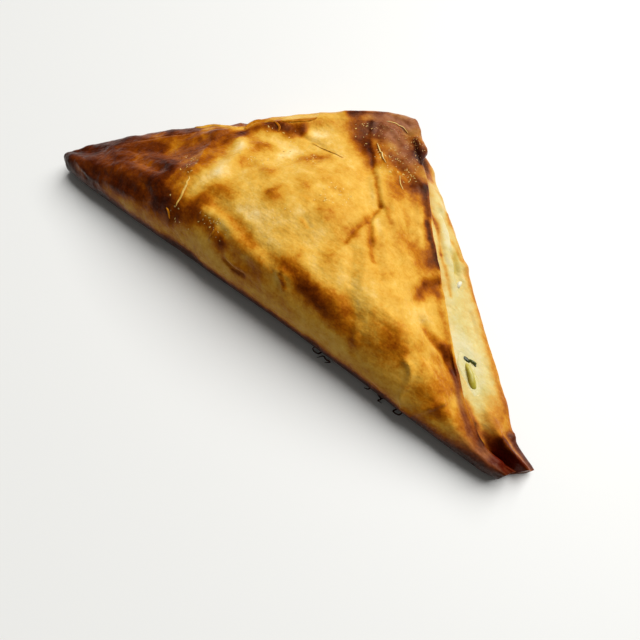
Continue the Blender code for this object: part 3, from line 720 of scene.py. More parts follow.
# Where the leaf inside the open tip is baked deep red: name, path, width, amount
REDDENING = (
    ("mouth", ((90, -45.5, 8.5), (93.5, -42.5, 2.5), (95.5, -42, 5.5)), 2.2, 1.0),
    ("mouth's corner", ((94, -45.5, 8.5), (96.5, -42.5, 5)), 1.6, 0.7),
    ("inside of the crest", ((87, -42, 3.5), (89.5, -42, 2.5), (92, -42, 3.5)), 2.2, 0.5),
    ("lip's lower edge", (
        (66, -30.5, 10.5), (71.5, -35, 10.5), (77.5, -40.5, 10), (82.5, -44, 9.5),
    ), 1.0, 0.45),
)
# Where dry leaves have flaked, and where pale flakes stand in for painted glints on the blisters
# (the ring spot, the middle and the bubbles): name, path, width, amount
FLAKING_AND_PAINTED_GLINTS = (
    ("square corner", ((-8, 36, 13), (0, 42, 12), (10, 34, 13)), 7, 1.0),
    ("under the corner", ((6, 24, 15), (16, 22, 15)), 4, 0.7),
    ("ring spot", ((-31, -9, 22), (-27, -9, 23), (-26, -7, 22)), 2.6, 0.6),
    ("middle", ((-7, -21, 27), (-4, -21, 27)), 2.4, 0.8),
    ("shoulder crest", ((-38, -38, 21), (-27, -38, 23), (-20, -38, 23)), 3, 0.3),
    ("rear edge", ((-60, -3, 13), (-40, 10, 16), (-30, 14, 17)), 3, 0.5),
    ("bubbles", ((-22, 0, 20), (-22, 6, 18), (-14, 4, 20)), 2.6, 0.9),
    ("bubbles 2", ((2, -9, 26), (2, -5, 25), (6, -5, 24)), 2.8, 0.8),
    ("bulge's foot", ((-25, -37, 23), (-21, -38, 23), (-18, -38, 23)), 2.2, 0.8),
    ("left third", ((-49, -22, 21), (-43, -23, 23)), 3, 0.5),
)


def stroke(points, path, width):
    """1 on a path, falling to 0 about two widths from it. Height counts for less than plan.

    A path of one point is a round spot.
    """
    flat = np.array((1, 1, 0.6))
    route = np.array(path, dtype=float) * flat
    place = points * flat
    reach = 2.6 * width
    inside = np.all((place > route.min(axis=0) - reach) & (place < route.max(axis=0) + reach), axis=-1)
    near = place[inside]
    nearest = np.full(len(near), 1e9)
    for start, end in zip(route[:-1], route[1:]) if len(route) > 1 else ((route[0], route[0]),):
        run = end - start
        t = np.clip(((near - start) @ run) / max(run @ run, 1e-9), 0, 1)
        nearest = np.minimum(nearest, np.linalg.norm(near - start - t[:, None] * run, axis=1))
    result = np.zeros(points.shape[:-1])
    result[inside] = np.exp(-((nearest / width) ** 2))
    return result


def along(points, path):
    """Distance to a path, and on which side: +1 left of its run, -1 right."""
    nearest = np.full(points.shape[:-1], 1e9)
    side = np.ones(points.shape[:-1])
    path = np.array(path, dtype=float)
    for start, end in zip(path[:-1], path[1:]):
        run = end - start
        t = np.clip(((points - start) @ run) / (run @ run), 0, 1)
        away = points - start - t[..., None] * run
        distance = np.linalg.norm(away, axis=-1)
        closer = distance < nearest
        nearest = np.where(closer, distance, nearest)
        cross = run[0] * away[..., 1] - run[1] * away[..., 0]
        side = np.where(closer, np.where(cross >= 0, 1.0, -1.0), side)
    return nearest, side


def broad_relief(x, y):
    """Height of the broad creases and dents at a place on the top."""
    height = 0 * x
    for (sx, sy), (ex, ey), width, rise in CREASES:
        dx, dy = ex - sx, ey - sy
        t = np.clip(((x - sx) * dx + (y - sy) * dy) / (dx * dx + dy * dy), 0, 1)
        height = height + rise * bump(0, width, np.hypot(x - sx - t * dx, y - sy - t * dy))
    return height


def total(points, strokes):
    """The sum of strokes at each point."""
    result = np.zeros(points.shape[:-1])
    for _, path, width, amount in strokes:
        result = result + amount * stroke(points, path, width)
    return result


def relief(points, clouds):
    """The sum of clouds, each given as height, patch size and seed."""
    return sum(rise * cloud(points, size, seed) for rise, size, seed in clouds)


def displace(points, scorch):
    """Height of the folds, blisters, leaf edges and wrinkles at each point, in millimetres."""
    height = relief(points, WRINKLES) + scorch * relief(points, SCORCHED_WRINKLES)
    height = height + total(points, FOLDS)
    for _, path, width, amount in BROWNING_AND_PAINTED_LIGHT:
        if len(path) < 3 and width < BLISTER_WIDEST:
            height = height + BLISTER_RISE * amount * stroke(points, path, 0.75 * width)
    for _, path, rise, fade in LEAF_EDGES:
        distance, side = along(points, path)
        step = 0.5 + 0.5 * np.tanh(side * distance / 0.35)
        height = height + rise * step * np.exp(-distance / fade)
    return height


def outward(grid):
    """Unit normals of a grid whose rows close on themselves."""
    down = np.roll(grid, -1, axis=1) - np.roll(grid, 1, axis=1)
    forward = np.gradient(grid, axis=0)
    normal = np.cross(forward, down)
    return normal / np.maximum(np.linalg.norm(normal, axis=2, keepdims=True), 1e-9)


def browning_with_painted_light(points, rows):
    """How far each point is baked, from 0 for pale to 1 for charred, with painted shade and highlight."""
    swirl = np.stack([cloud(points, 6, 21), cloud(points, 6, 31), cloud(points, 6, 41)], axis=-1)
    warped = points + 1.1 * swirl
    x, z = points[..., 0], points[..., 2]
    mottle = cloud(points, 5, 55)
    left = 1 - ramp(-50, -34, x + 4 * swirl[..., 0])
    # The top is gold to brown in clouds and browner on the left, and the walls darker downwards:
    # browning, and near the floor also painted contact shade
    top = 0.3 + 0.45 * left + 0.08 * cloud(points, 14, 51) + (0.13 + 0.1 * left) * mottle
    wall = 0.42 + 0.04 * left + 0.06 * mottle + 0.8 * (1 - ramp(4, 11.5, z))
    bake = top + (wall - top) * (1 - ramp(9, 19, z)) * (rows["flank"] == 0)
    bake = bake + total(warped, BROWNING_AND_PAINTED_LIGHT)
    across = rows["across"]
    # The bare flank browns outwards, at its foot, by the square corner and by the open tip
    side = 0.26 + 0.16 * ramp(0.5, 1.0, across) + 0.06 * mottle + 0.2 * (1 - ramp(14, 30, x))
    side = side + 0.12 * ramp(72, 82, x) + 0.25 * (1 - ramp(0.5, 2.5, z)) + total(warped, BROWNING_AND_PAINTED_LIGHT)
    bake = bake + (side - bake) * rows["flank"] * on_right(x)
    over = np.maximum(bake - DARK_FROM, 0)
    return np.minimum(bake, DARK_FROM) + 0.2 * (1 - np.exp(-over / 0.2))


# Meshes


def skin(name, grid, attributes, first_cap):
    """A closed mesh over a grid of rings, after extra end rings, with a value for each point."""
    rings = list(first_cap) + list(grid)
    count, rows = len(rings), len(rings[0])
    points = np.concatenate(rings) * MM
    ring = np.arange(count - 1)[:, None] * rows
    row = np.arange(rows)[None, :]
    after = (row + 1) % rows
    faces = np.stack([ring + row, ring + after, ring + rows + after, ring + rows + row], axis=2)
    faces = faces.reshape(-1, 4).tolist()
    faces.append(list(range(rows))[::-1])
    faces.append(list(range((count - 1) * rows, count * rows)))
    mesh = bpy.data.meshes.new(name)
    mesh.from_pydata(points.tolist(), [], faces)
    mesh.shade_smooth()
    for key, values in attributes.items():
        before = np.repeat(values[:1], len(first_cap), axis=0)
        layer = mesh.attributes.new(key, "FLOAT", "POINT")
        layer.data.foreach_set("value", np.concatenate([before, values]).astype(np.float32).ravel())
    piece = bpy.data.objects.new(name, mesh)
    bpy.context.scene.collection.objects.link(piece)
    face_outwards(piece)
    return piece


def face_outwards(piece):
    mesh = bmesh.new()
    mesh.from_mesh(piece.data)
    bmesh.ops.recalc_face_normals(mesh, faces=mesh.faces)
    mesh.to_mesh(piece.data)
    mesh.free()


def make_parcel(finish):
    """The baked parcel, with its folds, and its browning with painted shade and highlight."""
    grid = parcel_points()
    counts = (FOLD_ROWS, CROWN_ROWS, LIP_ROWS, FLANK_ROWS, UNDER_ROWS + BASE_ROWS, UNDER_ROWS - 1)
    section = np.repeat(np.arange(6), counts)
    across = np.zeros(len(section))
    across[section == 3] = np.linspace(0, 1, FLANK_ROWS)
    across[section == 4] = 1
    rows = {"flank": np.isin(section, (3, 4))[None, :] * 1.0, "across": across[None, :]}
    x, z = grid[..., 0], grid[..., 2]
    right = on_right(x)
    scorch = np.clip(total(grid, SCORCH), 0, 1)
    inwards = grid[..., 1] + CENTRE_Y - front_line(x)
    # A dark band low on the front wall: charred leaf, and painted shade where the contact shadow falls
    # under the fold.
    char_and_painted_shade = ramp(0, 0.8, z) * (1 - ramp(0.5 * FOOT_HEIGHT, FOOT_HEIGHT, z))
    char_and_painted_shade = char_and_painted_shade * (1 - ramp(2, 5, inwards)) * (0.85 + 0.4 * cloud(grid, 3, 61))
    scorch = np.maximum(scorch, char_and_painted_shade)
    upright = ramp(0.4, 3.0, z) * np.where(section >= 4, 0.3, 1.0)[None, :]
    height = displace(grid, scorch) * upright * ramp(-HALF, 1 - HALF, x)
    tear_way = [(*TEAR_START, FLANK_AT_TEAR), (*TEAR_END, FLANK_AT_TEAR)]
    height = height * (1 - 0.9 * stroke(grid, tear_way, 5))
    moved = grid + outward(grid) * height[..., None]
    moved[..., 0] += (1 - ramp(-HALF, 8 - HALF, x)) * ROLLED_TIP_SLANT
    reach = ramp(HALF - 7, HALF, x) * ramp(-46, -40, grid[..., 1])
    moved = moved + reach[..., None] * OPEN_TIP_REACH * np.array((1, -0.12, 0))
    moved[..., 2] = np.maximum(moved[..., 2], 0)
    # The browning carries painted shade and highlight, the scorch carries painted contact shade low on the
    # front wall, and the flaking carries pale flakes that stand in for painted glints.
    looks = {
        "bake": np.clip(browning_with_painted_light(grid, rows), 0, 1),
        "dough": rows["flank"] * right * (1 - ramp(82, 90, x)),
        "scorch": scorch,
        "green": np.clip(total(grid, GREENING), 0, 1) * rows["flank"],
        "red": np.clip(total(grid, REDDENING), 0, 1),
        "flaky": np.clip(total(grid, FLAKING_AND_PAINTED_GLINTS), 0, 1) * (section < 3)[None, :],
    }
    first = moved[0]
    centre = first.mean(axis=0)
    rim = centre + (first - centre) * ROLL_WALL
    floor = centre + (first - centre) * ROLL_WALL * 0.8 + np.array((ROLL_DEPTH, 0, 0))
    piece = skin("pastry_leaves", moved, looks, [floor, rim])
    piece.data.materials.append(finish)
    cut(piece, loose_body("pocket", core_points(GAP)))
    cut(piece, loose_body("tear", tear_rings()))
    piece.data.set_sharp_from_angle(angle=math.radians(SHARP_ANGLE))
    return piece


def core_points(margin):
    """The filling's body inside the pastry, grown by margin."""
    x = np.linspace(CORE_START - margin, CORE_END + margin, CORE_STATIONS)[:, None]
    inset = WALL - margin
    front = front_line(x) + inset + 1.5
    left_rear = rear_line(x) - inset - 2.0
    right_rear = lip_line(x) + 0.55 * (rear_line(x) - lip_line(x)) + margin
    rear = left_rear + (right_rear - left_rear) * on_right(x)
    turn = np.linspace(0, 2 * math.pi, CORE_ROWS, endpoint=False)[None, :]
    y = (front + rear) / 2 - (rear - front) / 2 * np.cos(turn)
    side = flank_height(x, flank_share(x, y))
    roof = np.where(y > lip_line(x), side, top_height(x, y))
    floor = WALL - 0.5 - margin
    roof = np.maximum(roof - inset - 1.0, floor + CORE_EDGE + 2 * margin)
    middle = floor + 0.3 * (roof - floor)
    rise = np.abs(np.sin(turn)) ** 0.6
    z = np.where(turn < math.pi, middle + (roof - middle) * rise, middle - (middle - floor) * rise)
    return np.stack([x + 0 * y, y - CENTRE_Y, z], axis=2)


def tear_line():
    """The tear in plan: its start and end, the way along it and the way to its left."""
    start, end = np.array(TEAR_START), np.array(TEAR_END)
    run = (end - start) / np.hypot(*(end - start))
    return start, end, run, np.array([-run[1], run[0]])


def stem_rings():
    """A spinach stem that lies in the tear and dips into the filling at both its ends."""
    start, end, _, side = tear_line()
    share = np.linspace(0.1, 0.94, STEM_RINGS)[:, None]
    turn = np.linspace(0, 2 * math.pi, STEM_ROWS, endpoint=False)[None, :]
    swell = np.sin(math.pi * share)
    half = STEM_WIDTH / 2 * (0.6 + 0.5 * swell) * (0.75 + 0.45 * share) * (1 + 0.08 * np.sin(9 * share))
    roof = WALL + 1.4 + 3.8 * swell**0.5
    out = half * np.cos(turn) + STEM_BEND * np.sin(5 * share)
    plan = start + (end - start) * share[..., None] + side * out[..., None]
    rib = 0.12 * np.cos(6 * turn) * swell
    z = (roof + WALL) / 2 + ((roof - WALL) / 2 + rib) * np.sin(turn)
    return np.concatenate([plan - (0, CENTRE_Y), z[..., None]], axis=2)


def tear_rings():
    """A lens-shaped slit, standing upright through the flank down to the filling."""
    start, end, run, side = tear_line()
    turn = np.linspace(0, 2 * math.pi, TEAR_POINTS, endpoint=False)[:, None]
    ragged = 0.93 + 0.07 * np.cos(3 * turn) + 0.05 * np.sin(11 * turn)
    plan = (start + end) / 2 + run * np.cos(turn) * TEAR_LENGTH / 2
    plan = plan + side * np.sin(turn) * TEAR_WIDTH / 2 * ragged - (0, CENTRE_Y)
    return [np.column_stack([plan, np.full(TEAR_POINTS, height)]) for height in (WALL + 0.4, 2 * CROWN)]


def tear_curd():
    """Cheese that fills the tear to just below the flank's skin."""
    base, _ = tear_rings()
    middle = base.mean(axis=0)
    rings = [base]
    for share, sink in ((1.3, 0.15), (1.1, 0.0), (0.95, -0.05), (0.6, -0.08), (0.2, -0.08)):
        ring = middle + (base - middle) * share
        x, y = ring[:, :1], ring[:, 1:2] + CENTRE_Y
        ring[:, 2:] = flank_height(x, flank_share(x, y)) - sink
        rings.append(ring)
    return np.array(rings)


def loose_body(name, rings):
    """A plain closed body through rings."""
    return skin(name, np.array(rings), {}, [])


def cut(piece, tool):
    """Cuts the tool out of a piece for good, and deletes it."""
    step = piece.modifiers.new(tool.name, "BOOLEAN")
    step.operation = "DIFFERENCE"
    step.solver = "EXACT"
    step.object = tool
    ready = piece.evaluated_get(bpy.context.evaluated_depsgraph_get())
    piece.data = bpy.data.meshes.new_from_object(ready)
    piece.modifiers.clear()
    bpy.data.objects.remove(tool)


def lump(centre, sizes, seed):
    """A small uneven ball, as (rings, rows, 3) points."""
    rise = np.linspace(-0.96, 0.96, 9)[:, None]
    turn = np.linspace(0, 2 * math.pi, 14, endpoint=False)[None, :]
    wide = np.sqrt(1 - rise**2)
    ball = np.stack([wide * np.cos(turn), wide * np.sin(turn), rise + 0 * turn], axis=2)
    ball = ball * (1 + BIT_ROUGHNESS * grain(ball, 0.8, seed))[..., None]
    return np.array(centre) + ball * np.array(sizes)


def smooth_path(points, count):
    """A smooth run of count places through points."""
    t = np.linspace(0, len(points) - 1, count)
    return np.stack([through(list(enumerate(axis)), t) for axis in zip(*points)], axis=1)


def strip(name, path, half_width, half_thick, bake):
    """A ribbon or strand along a path, thin at its ends."""
    ahead = np.gradient(path, axis=0)
    side = np.cross(ahead, (0, 0, 1))
    side = side / np.linalg.norm(side, axis=1, keepdims=True)
    above = np.cross(side, ahead)
    above = above / np.linalg.norm(above, axis=1, keepdims=True)
    share = np.linspace(0, 1, len(path))
    taper = (0.15 + 0.85 * np.sin(math.pi * share) ** 0.5)[:, None, None]
    turn = np.linspace(0, 2 * math.pi, 8, endpoint=False)[None, :, None]
    around = side[:, None] * half_width * np.cos(turn) + above[:, None] * half_thick * np.sin(turn)
    rings = path[:, None] + around * taper
    shades = np.full(rings.shape[:2], bake) + 0.1 * cloud(rings, 2, 91)
    return skin(name, rings, {"bake": np.clip(shades, 0, 1)}, [])


# Thin pieces of leaf that came loose: name, path, half width, browning
SLIVERS = (
    ("sliver on the rolled tip", (
        (-40, -28, 24), (-39, -32, 23.5), (-38, -35.5, 23), (-38, -38.5, 21),
    ), 0.4, 0.2),
    ("short sliver", ((-41, -40, 20), (-39.5, -40.5, 19.5), (-38.5, -42, 18)), 0.35, 0.5),
    ("torn rear leaf", (
        (-43.5, 3.5, 16.5), (-43.5, 6.5, 16), (-42.5, 9, 16), (-40, 11, 16), (-36, 12.5, 16.5),
    ), 0.9, 0.5),
    ("its hooked end", ((-37, 12.5, 16.5), (-33.5, 11.5, 17), (-32.5, 9.5, 17)), 0.5, 0.6),
    ("rear edge leaf", (
        (-62, -4.5, 12), (-59, -3.5, 13), (-56, -1, 13), (-52.5, 0, 14.5), (-50, 3.5, 14.5),
    ), 0.8, 0.4),
    ("rear edge leaf 2", ((-34, 14, 16.5), (-30.5, 17, 16.5), (-27, 20, 16.5), (-25, 23.5, 16)), 0.7, 0.55),
    ("sliver in the streak", ((-21.5, -41.5, 20), (-20.5, -40, 22), (-20, -38, 23.5)), 0.4, 0.5),
    ("rear thread", ((-20, 13, 16.5), (-15.5, 13, 17), (-10.5, 13, 17.5), (-5.5, 13, 18)), 0.22, 0.3),
    ("thread on the crust", (
        (-4.5, 39.5, 13), (-1.5, 41, 12.5), (1.5, 42, 11.5), (4.5, 41.5, 10.5),
    ), 0.2, 0.1),
    ("thread under the crust", ((14, 19.5, 16), (16, 16.5, 16), (18.5, 14.5, 16.5)), 0.2, 0.15),
    ("sliver at the crust", ((-1, 28, 14), (2.5, 25, 14.5), (7, 21.5, 15)), 0.25, 0.1),
)
# Charred threads that stick out under the long side, on the floor
FRAYS = (
    ((-50.5, -43.7, 0.8), (-47.5, -43.7, 1.2), (-46.5, -43.2, 0.8), (-44.5, -43.7, 1), (-42.5, -43.2, 0.8)),
    ((16.5, -44.7, 0.8), (17.5, -45.2, 1.2), (18.5, -45.7, 0.8)),
    (
        (24, -45.7, 0.6), (24.5, -44.7, 1), (26.5, -44.7, 1.2), (27, -46.2, 0.8), (26, -47.2, 0.6),
        (24, -46.7, 0.8), (24.5, -45.2, 1.2),
    ),
    ((27, -48.2, 0.5), (28.5, -46.7, 0.9), (30, -47.2, 1.2), (31.5, -47.2, 0.8), (30, -48.2, 0.5)),
    ((44.5, -45.7, 0.8), (45, -45.2, 1.2), (46.5, -45.7, 1), (47, -47.2, 0.6), (45.5, -47.7, 0.6)),
    ((48.5, -46.2, 1.2), (50, -46.7, 1), (52, -47.7, 0.6), (51.5, -48.7, 0.5), (53, -48.7, 0.6)),
    ((52, -47.7, 0.6), (53, -46.2, 1)),
    (
        (55.5, -47.2, 1), (56.5, -46.7, 1.2), (58, -47.2, 0.8), (57.5, -48.7, 0.5),
        (59.5, -48.7, 0.6), (60.5, -46.7, 1), (62, -47.2, 0.8),
    ),
)


def make_slivers(parcel, finish):
    """Slivers of leaf on the parcel, and charred threads under its long side."""
    pieces = []
    for name, route, half_width, bake in SLIVERS:
        path = smooth_path(route, 18)
        for index, place in enumerate(path):
            _, spot, normal, _ = parcel.closest_point_on_mesh((place * MM).tolist())
            path[index] = (np.array(spot) + np.array(normal) * SLIVER_LIFT * MM) / MM
        pieces.append(strip(name, path, half_width, SLIVER_HALF_THICK, bake))
    for index, route in enumerate(FRAYS):
        path = smooth_path(route, 6 * len(route))
        path = path + 0.25 * np.stack([cloud(path, 1.5, 93 + index)] * 3, axis=1)
        path[:, 2] = np.maximum(path[:, 2], 0.35)
        pieces.append(strip("fray", path, FRAY_HALF_THICK, FRAY_HALF_THICK, FRAY_CHAR))
    return merge(pieces, "loose_leaf", finish)


def merge(pieces, name, finish):
    """Joins pieces into one object with one finish."""
    for piece in pieces:
        piece.data.materials.append(finish)
    with bpy.context.temp_override(active_object=pieces[0], selected_editable_objects=pieces):
        bpy.ops.object.join()
    pieces[0].name = name
    return pieces[0]


def flake_group(finish):
    """Geometry nodes: small curled flakes where the leaves are dry, pale ones also as painted glints."""
    group = bpy.data.node_groups.new("dry flakes", "GeometryNodeTree")
    group.interface.new_socket("Geometry", in_out="INPUT", socket_type="NodeSocketGeometry")
    for name in ("Length", "Width", "Thickness", "Curl", "Per Square Metre"):
        group.interface.new_socket(name, in_out="INPUT", socket_type="NodeSocketFloat")
    group.interface.new_socket("Seed", in_out="INPUT", socket_type="NodeSocketInt")
    group.interface.new_socket("Geometry", in_out="OUTPUT", socket_type="NodeSocketGeometry")
    given = add(group, "NodeGroupInput").outputs
    flake_and_glint_mask = add(group, "GeometryNodeInputNamedAttribute", {"data_type": "FLOAT", "Name": "flaky"})
    amount = add(
        group, "ShaderNodeMath", {"operation": "MULTIPLY"},
        _0=flake_and_glint_mask.outputs[0], _1=given["Per Square Metre"],
    )
    spots = add(
        group, "GeometryNodeDistributePointsOnFaces", None,
        Mesh=given["Geometry"], Density=amount.outputs[0], Seed=given["Seed"],
    )
    size = add(
        group, "ShaderNodeCombineXYZ", None,
        X=given["Length"], Y=given["Width"], Z=given["Thickness"],
    )
    plate = add(
        group, "GeometryNodeMeshCube", {"Vertices X": 4, "Vertices Y": 2, "Vertices Z": 2},
        Size=size.outputs[0],
    )
    place = add(
        group, "ShaderNodeSeparateXYZ", None,
        Vector=add(group, "GeometryNodeInputPosition").outputs[0],
    )
    square = add(
        group, "ShaderNodeMath", {"operation": "MULTIPLY"},
        _0=place.outputs["X"], _1=place.outputs["X"],
    )
    rise = add(group, "ShaderNodeMath", {"operation": "MULTIPLY"}, _0=square.outputs[0], _1=given["Curl"])
    lift = add(group, "ShaderNodeCombineXYZ", None, Z=rise.outputs[0])
    flake = add(
        group, "GeometryNodeSetPosition", None,
        Geometry=plate.outputs["Mesh"], Offset=lift.outputs[0],
    )
    turn = add(
        group, "FunctionNodeRandomValue", {"data_type": "FLOAT_VECTOR", 0: FLAKE_TURN[0], 1: FLAKE_TURN[1]},
        Seed=given["Seed"],
    )
    spin = add(
        group, "FunctionNodeRotateRotation", {"rotation_space": "LOCAL"},
        Rotation=spots.outputs["Rotation"], _1=turn.outputs[0],
    )
    spread = add(
        group, "FunctionNodeRandomValue", {"data_type": "FLOAT", 2: FLAKE_SCALE[0], 3: FLAKE_SCALE[1]},
        Seed=given["Seed"],
    )
    flakes = add(
        group, "GeometryNodeInstanceOnPoints", None,
        Points=spots.outputs["Points"], Instance=flake.outputs[0],
        Rotation=spin.outputs[0], Scale=spread.outputs[1],
    )
    shade = add(
        group, "FunctionNodeRandomValue", {"data_type": "FLOAT", 2: FLAKE_BAKE[0], 3: FLAKE_BAKE[1]},
        Seed=given["Seed"],
    )
    shaded = add(
        group, "GeometryNodeStoreNamedAttribute",
        {"data_type": "FLOAT", "domain": "INSTANCE", "Name": "bake"},
        Geometry=flakes.outputs[0], Value=shade.outputs[1],
    )
    # The flakes are made pale: pale leaf, and a stand-in for painted glints
    pale = add(
        group, "GeometryNodeStoreNamedAttribute",
        {"data_type": "FLOAT", "domain": "INSTANCE", "Name": "dough", "Value": FLAKE_PALENESS_AND_PAINTED_GLINT},
        Geometry=shaded.outputs[0],
    )
    solid = add(group, "GeometryNodeRealizeInstances", None, Geometry=pale.outputs[0])
    dressed = add(group, "GeometryNodeSetMaterial", {"Material": finish}, Geometry=solid.outputs[0])
    add(group, "NodeGroupOutput", None, Geometry=dressed.outputs[0])
    return group


def make_flakes(parcel, finish):
    """Dry flakes that stand up from the crust, pale ones also as painted glints, as one plain mesh."""
    holder = bpy.data.objects.new("dry_flakes", parcel.data)
    bpy.context.scene.collection.objects.link(holder)
    step = holder.modifiers.new("flakes", "NODES")
    step.node_group = flake_group(finish)
    for socket in step.node_group.interface.items_tree:
        if socket.in_out == "INPUT" and socket.name in FLAKE_SIZES:
            step[socket.identifier] = FLAKE_SIZES[socket.name]
    ready = holder.evaluated_get(bpy.context.evaluated_depsgraph_get())
    holder.data = bpy.data.meshes.new_from_object(ready)
    holder.modifiers.clear()
    return holder


# What shows in and beside the tear: name, centre, half sizes, how leafy (0 cheese, 1 dark leaf)
BITS = (
    ("leaf at the tear's head", (67.2, -23, 6.9), (1.9, 1.0, 1.0), 0.95),
    ("leaf tip", (69.4, -22.2, 6.9), (1.6, 0.5, 0.7), 0.8),
    ("leaf beside the stem", (66.4, -25, 6.6), (0.6, 1.2, 1.0), 0.85),
    ("dark dot", (70.8, -22.6, 6.5), (0.5, 0.4, 0.4), 1.0),
    ("dot below the tear", (73.6, -25.2, 6.0), (0.35, 0.3, 0.3), 0.9),
    ("dot below the tear 2", (75.0, -26.2, 5.9), (0.3, 0.25, 0.3), 0.9),
    ("cheese through the flank", (52.0, -1.1, 7.1), (0.9, 1.7, 0.9), 0.0),
)


def make_filling(finish):
    """Spinach and cheese: the body inside, the stem in the tear and bits around it."""
    core = core_points(0)
    core = core + 0.15 * cloud(core, 3, 71)[..., None] * (0, 0, 1)
    leafy = np.clip(0.55 + 0.5 * cloud(core, 4, 73), 0, 1)
    pieces = [skin("filling_core", core, {"leafy": leafy}, [])]
    stem = stem_rings()
    fresh = np.clip(0.32 + 0.12 * cloud(stem, 1.5, 75), 0, 1)
    pieces.append(skin("stem", stem, {"leafy": fresh}, []))
    curd = tear_curd()
    cream = np.clip(0.19 + 0.06 * cloud(curd, 1.2, 77), 0, 1)
    pieces.append(skin("curd", curd, {"leafy": cream}, []))
    for index, (name, centre, sizes, amount) in enumerate(BITS):
        rings = lump(centre, sizes, 80 + index)
        pieces.append(skin(name, rings, {"leafy": np.full(rings.shape[:2], amount)}, []))
    return merge(pieces, "spinach_and_cheese", finish)


# Finishes


def srgb(code):
    """An sRGB hex colour as linear red, green, blue and alpha."""
    values = [int(code[i : i + 2], 16) / 255 for i in (0, 2, 4)]
    return [v / 12.92 if v <= 0.04045 else ((v + 0.055) / 1.055) ** 2.4 for v in values] + [1.0]


def set_steps(stops, steps):
    """Gives a colour ramp its (position, hex) steps."""
    while len(stops) < len(steps):
        stops.new(0.5)
    for stop, (place, code) in zip(stops, steps):
        stop.position = place
        stop.color = srgb(code)


def add(owner, kind, settings=None, **links):
    """Adds a node to a material or node group, with its properties, colour steps, inputs and links."""
    tree = getattr(owner, "node_tree", owner)
    node = tree.nodes.new(kind)
    for key, value in (settings or {}).items():
        if key == "steps":
            set_steps(node.color_ramp.elements, value)
        elif isinstance(key, int) or key in node.inputs:
            node.inputs[key].default_value = value
        else:
            setattr(node, key, value)
    for key, socket in links.items():
        target = node.inputs[int(key[1:])] if key[0] == "_" else node.inputs[key]
        tree.links.new(socket, target)
    return node


def new_material(name):
    material = bpy.data.materials.new(name)
    material.use_nodes = True
    return material, material.node_tree.nodes["Principled BSDF"]


def join(material, feed, socket):
    material.node_tree.links.new(feed, socket)


def patches(size, detail):
    """Settings for cloudy noise whose patches lie size millimetres apart."""
    return {"Scale": 1 / (size * MM), "Detail": detail, "Roughness": 0.6}


# Colour steps: how far baked, sRGB
BAKED_LEAF = (
    (0.0, "f0d698"), (0.15, "e8c06c"), (0.28, "dcac48"), (0.4, "cf9630"), (0.53, "b66e10"),
    (0.66, "924a05"), (0.78, "6c2e03"), (0.9, "471702"), (1.0, "260a03"),
)
BARE_DOUGH = (
    (0.0, "dacfa2"), (0.2, "d4c07c"), (0.4, "cfa652"), (0.55, "c4842e"), (0.7, "a45c22"),
    (0.85, "643212"), (1.0, "30140a"),
)
SCORCHED_CRUST = (
    (0.0, "c08c5c"), (0.3, "a46a3e"), (0.5, "844828"), (0.68, "5c2a18"), (0.84, "38160e"), (1.0, "200c08"),
)
FILLING = (
    (0.0, "dcd7bc"), (0.12, "cdc088"), (0.3, "b9aa38"), (0.5, "8c8618"), (0.7, "525c0e"), (1.0, "1e2406"),
)


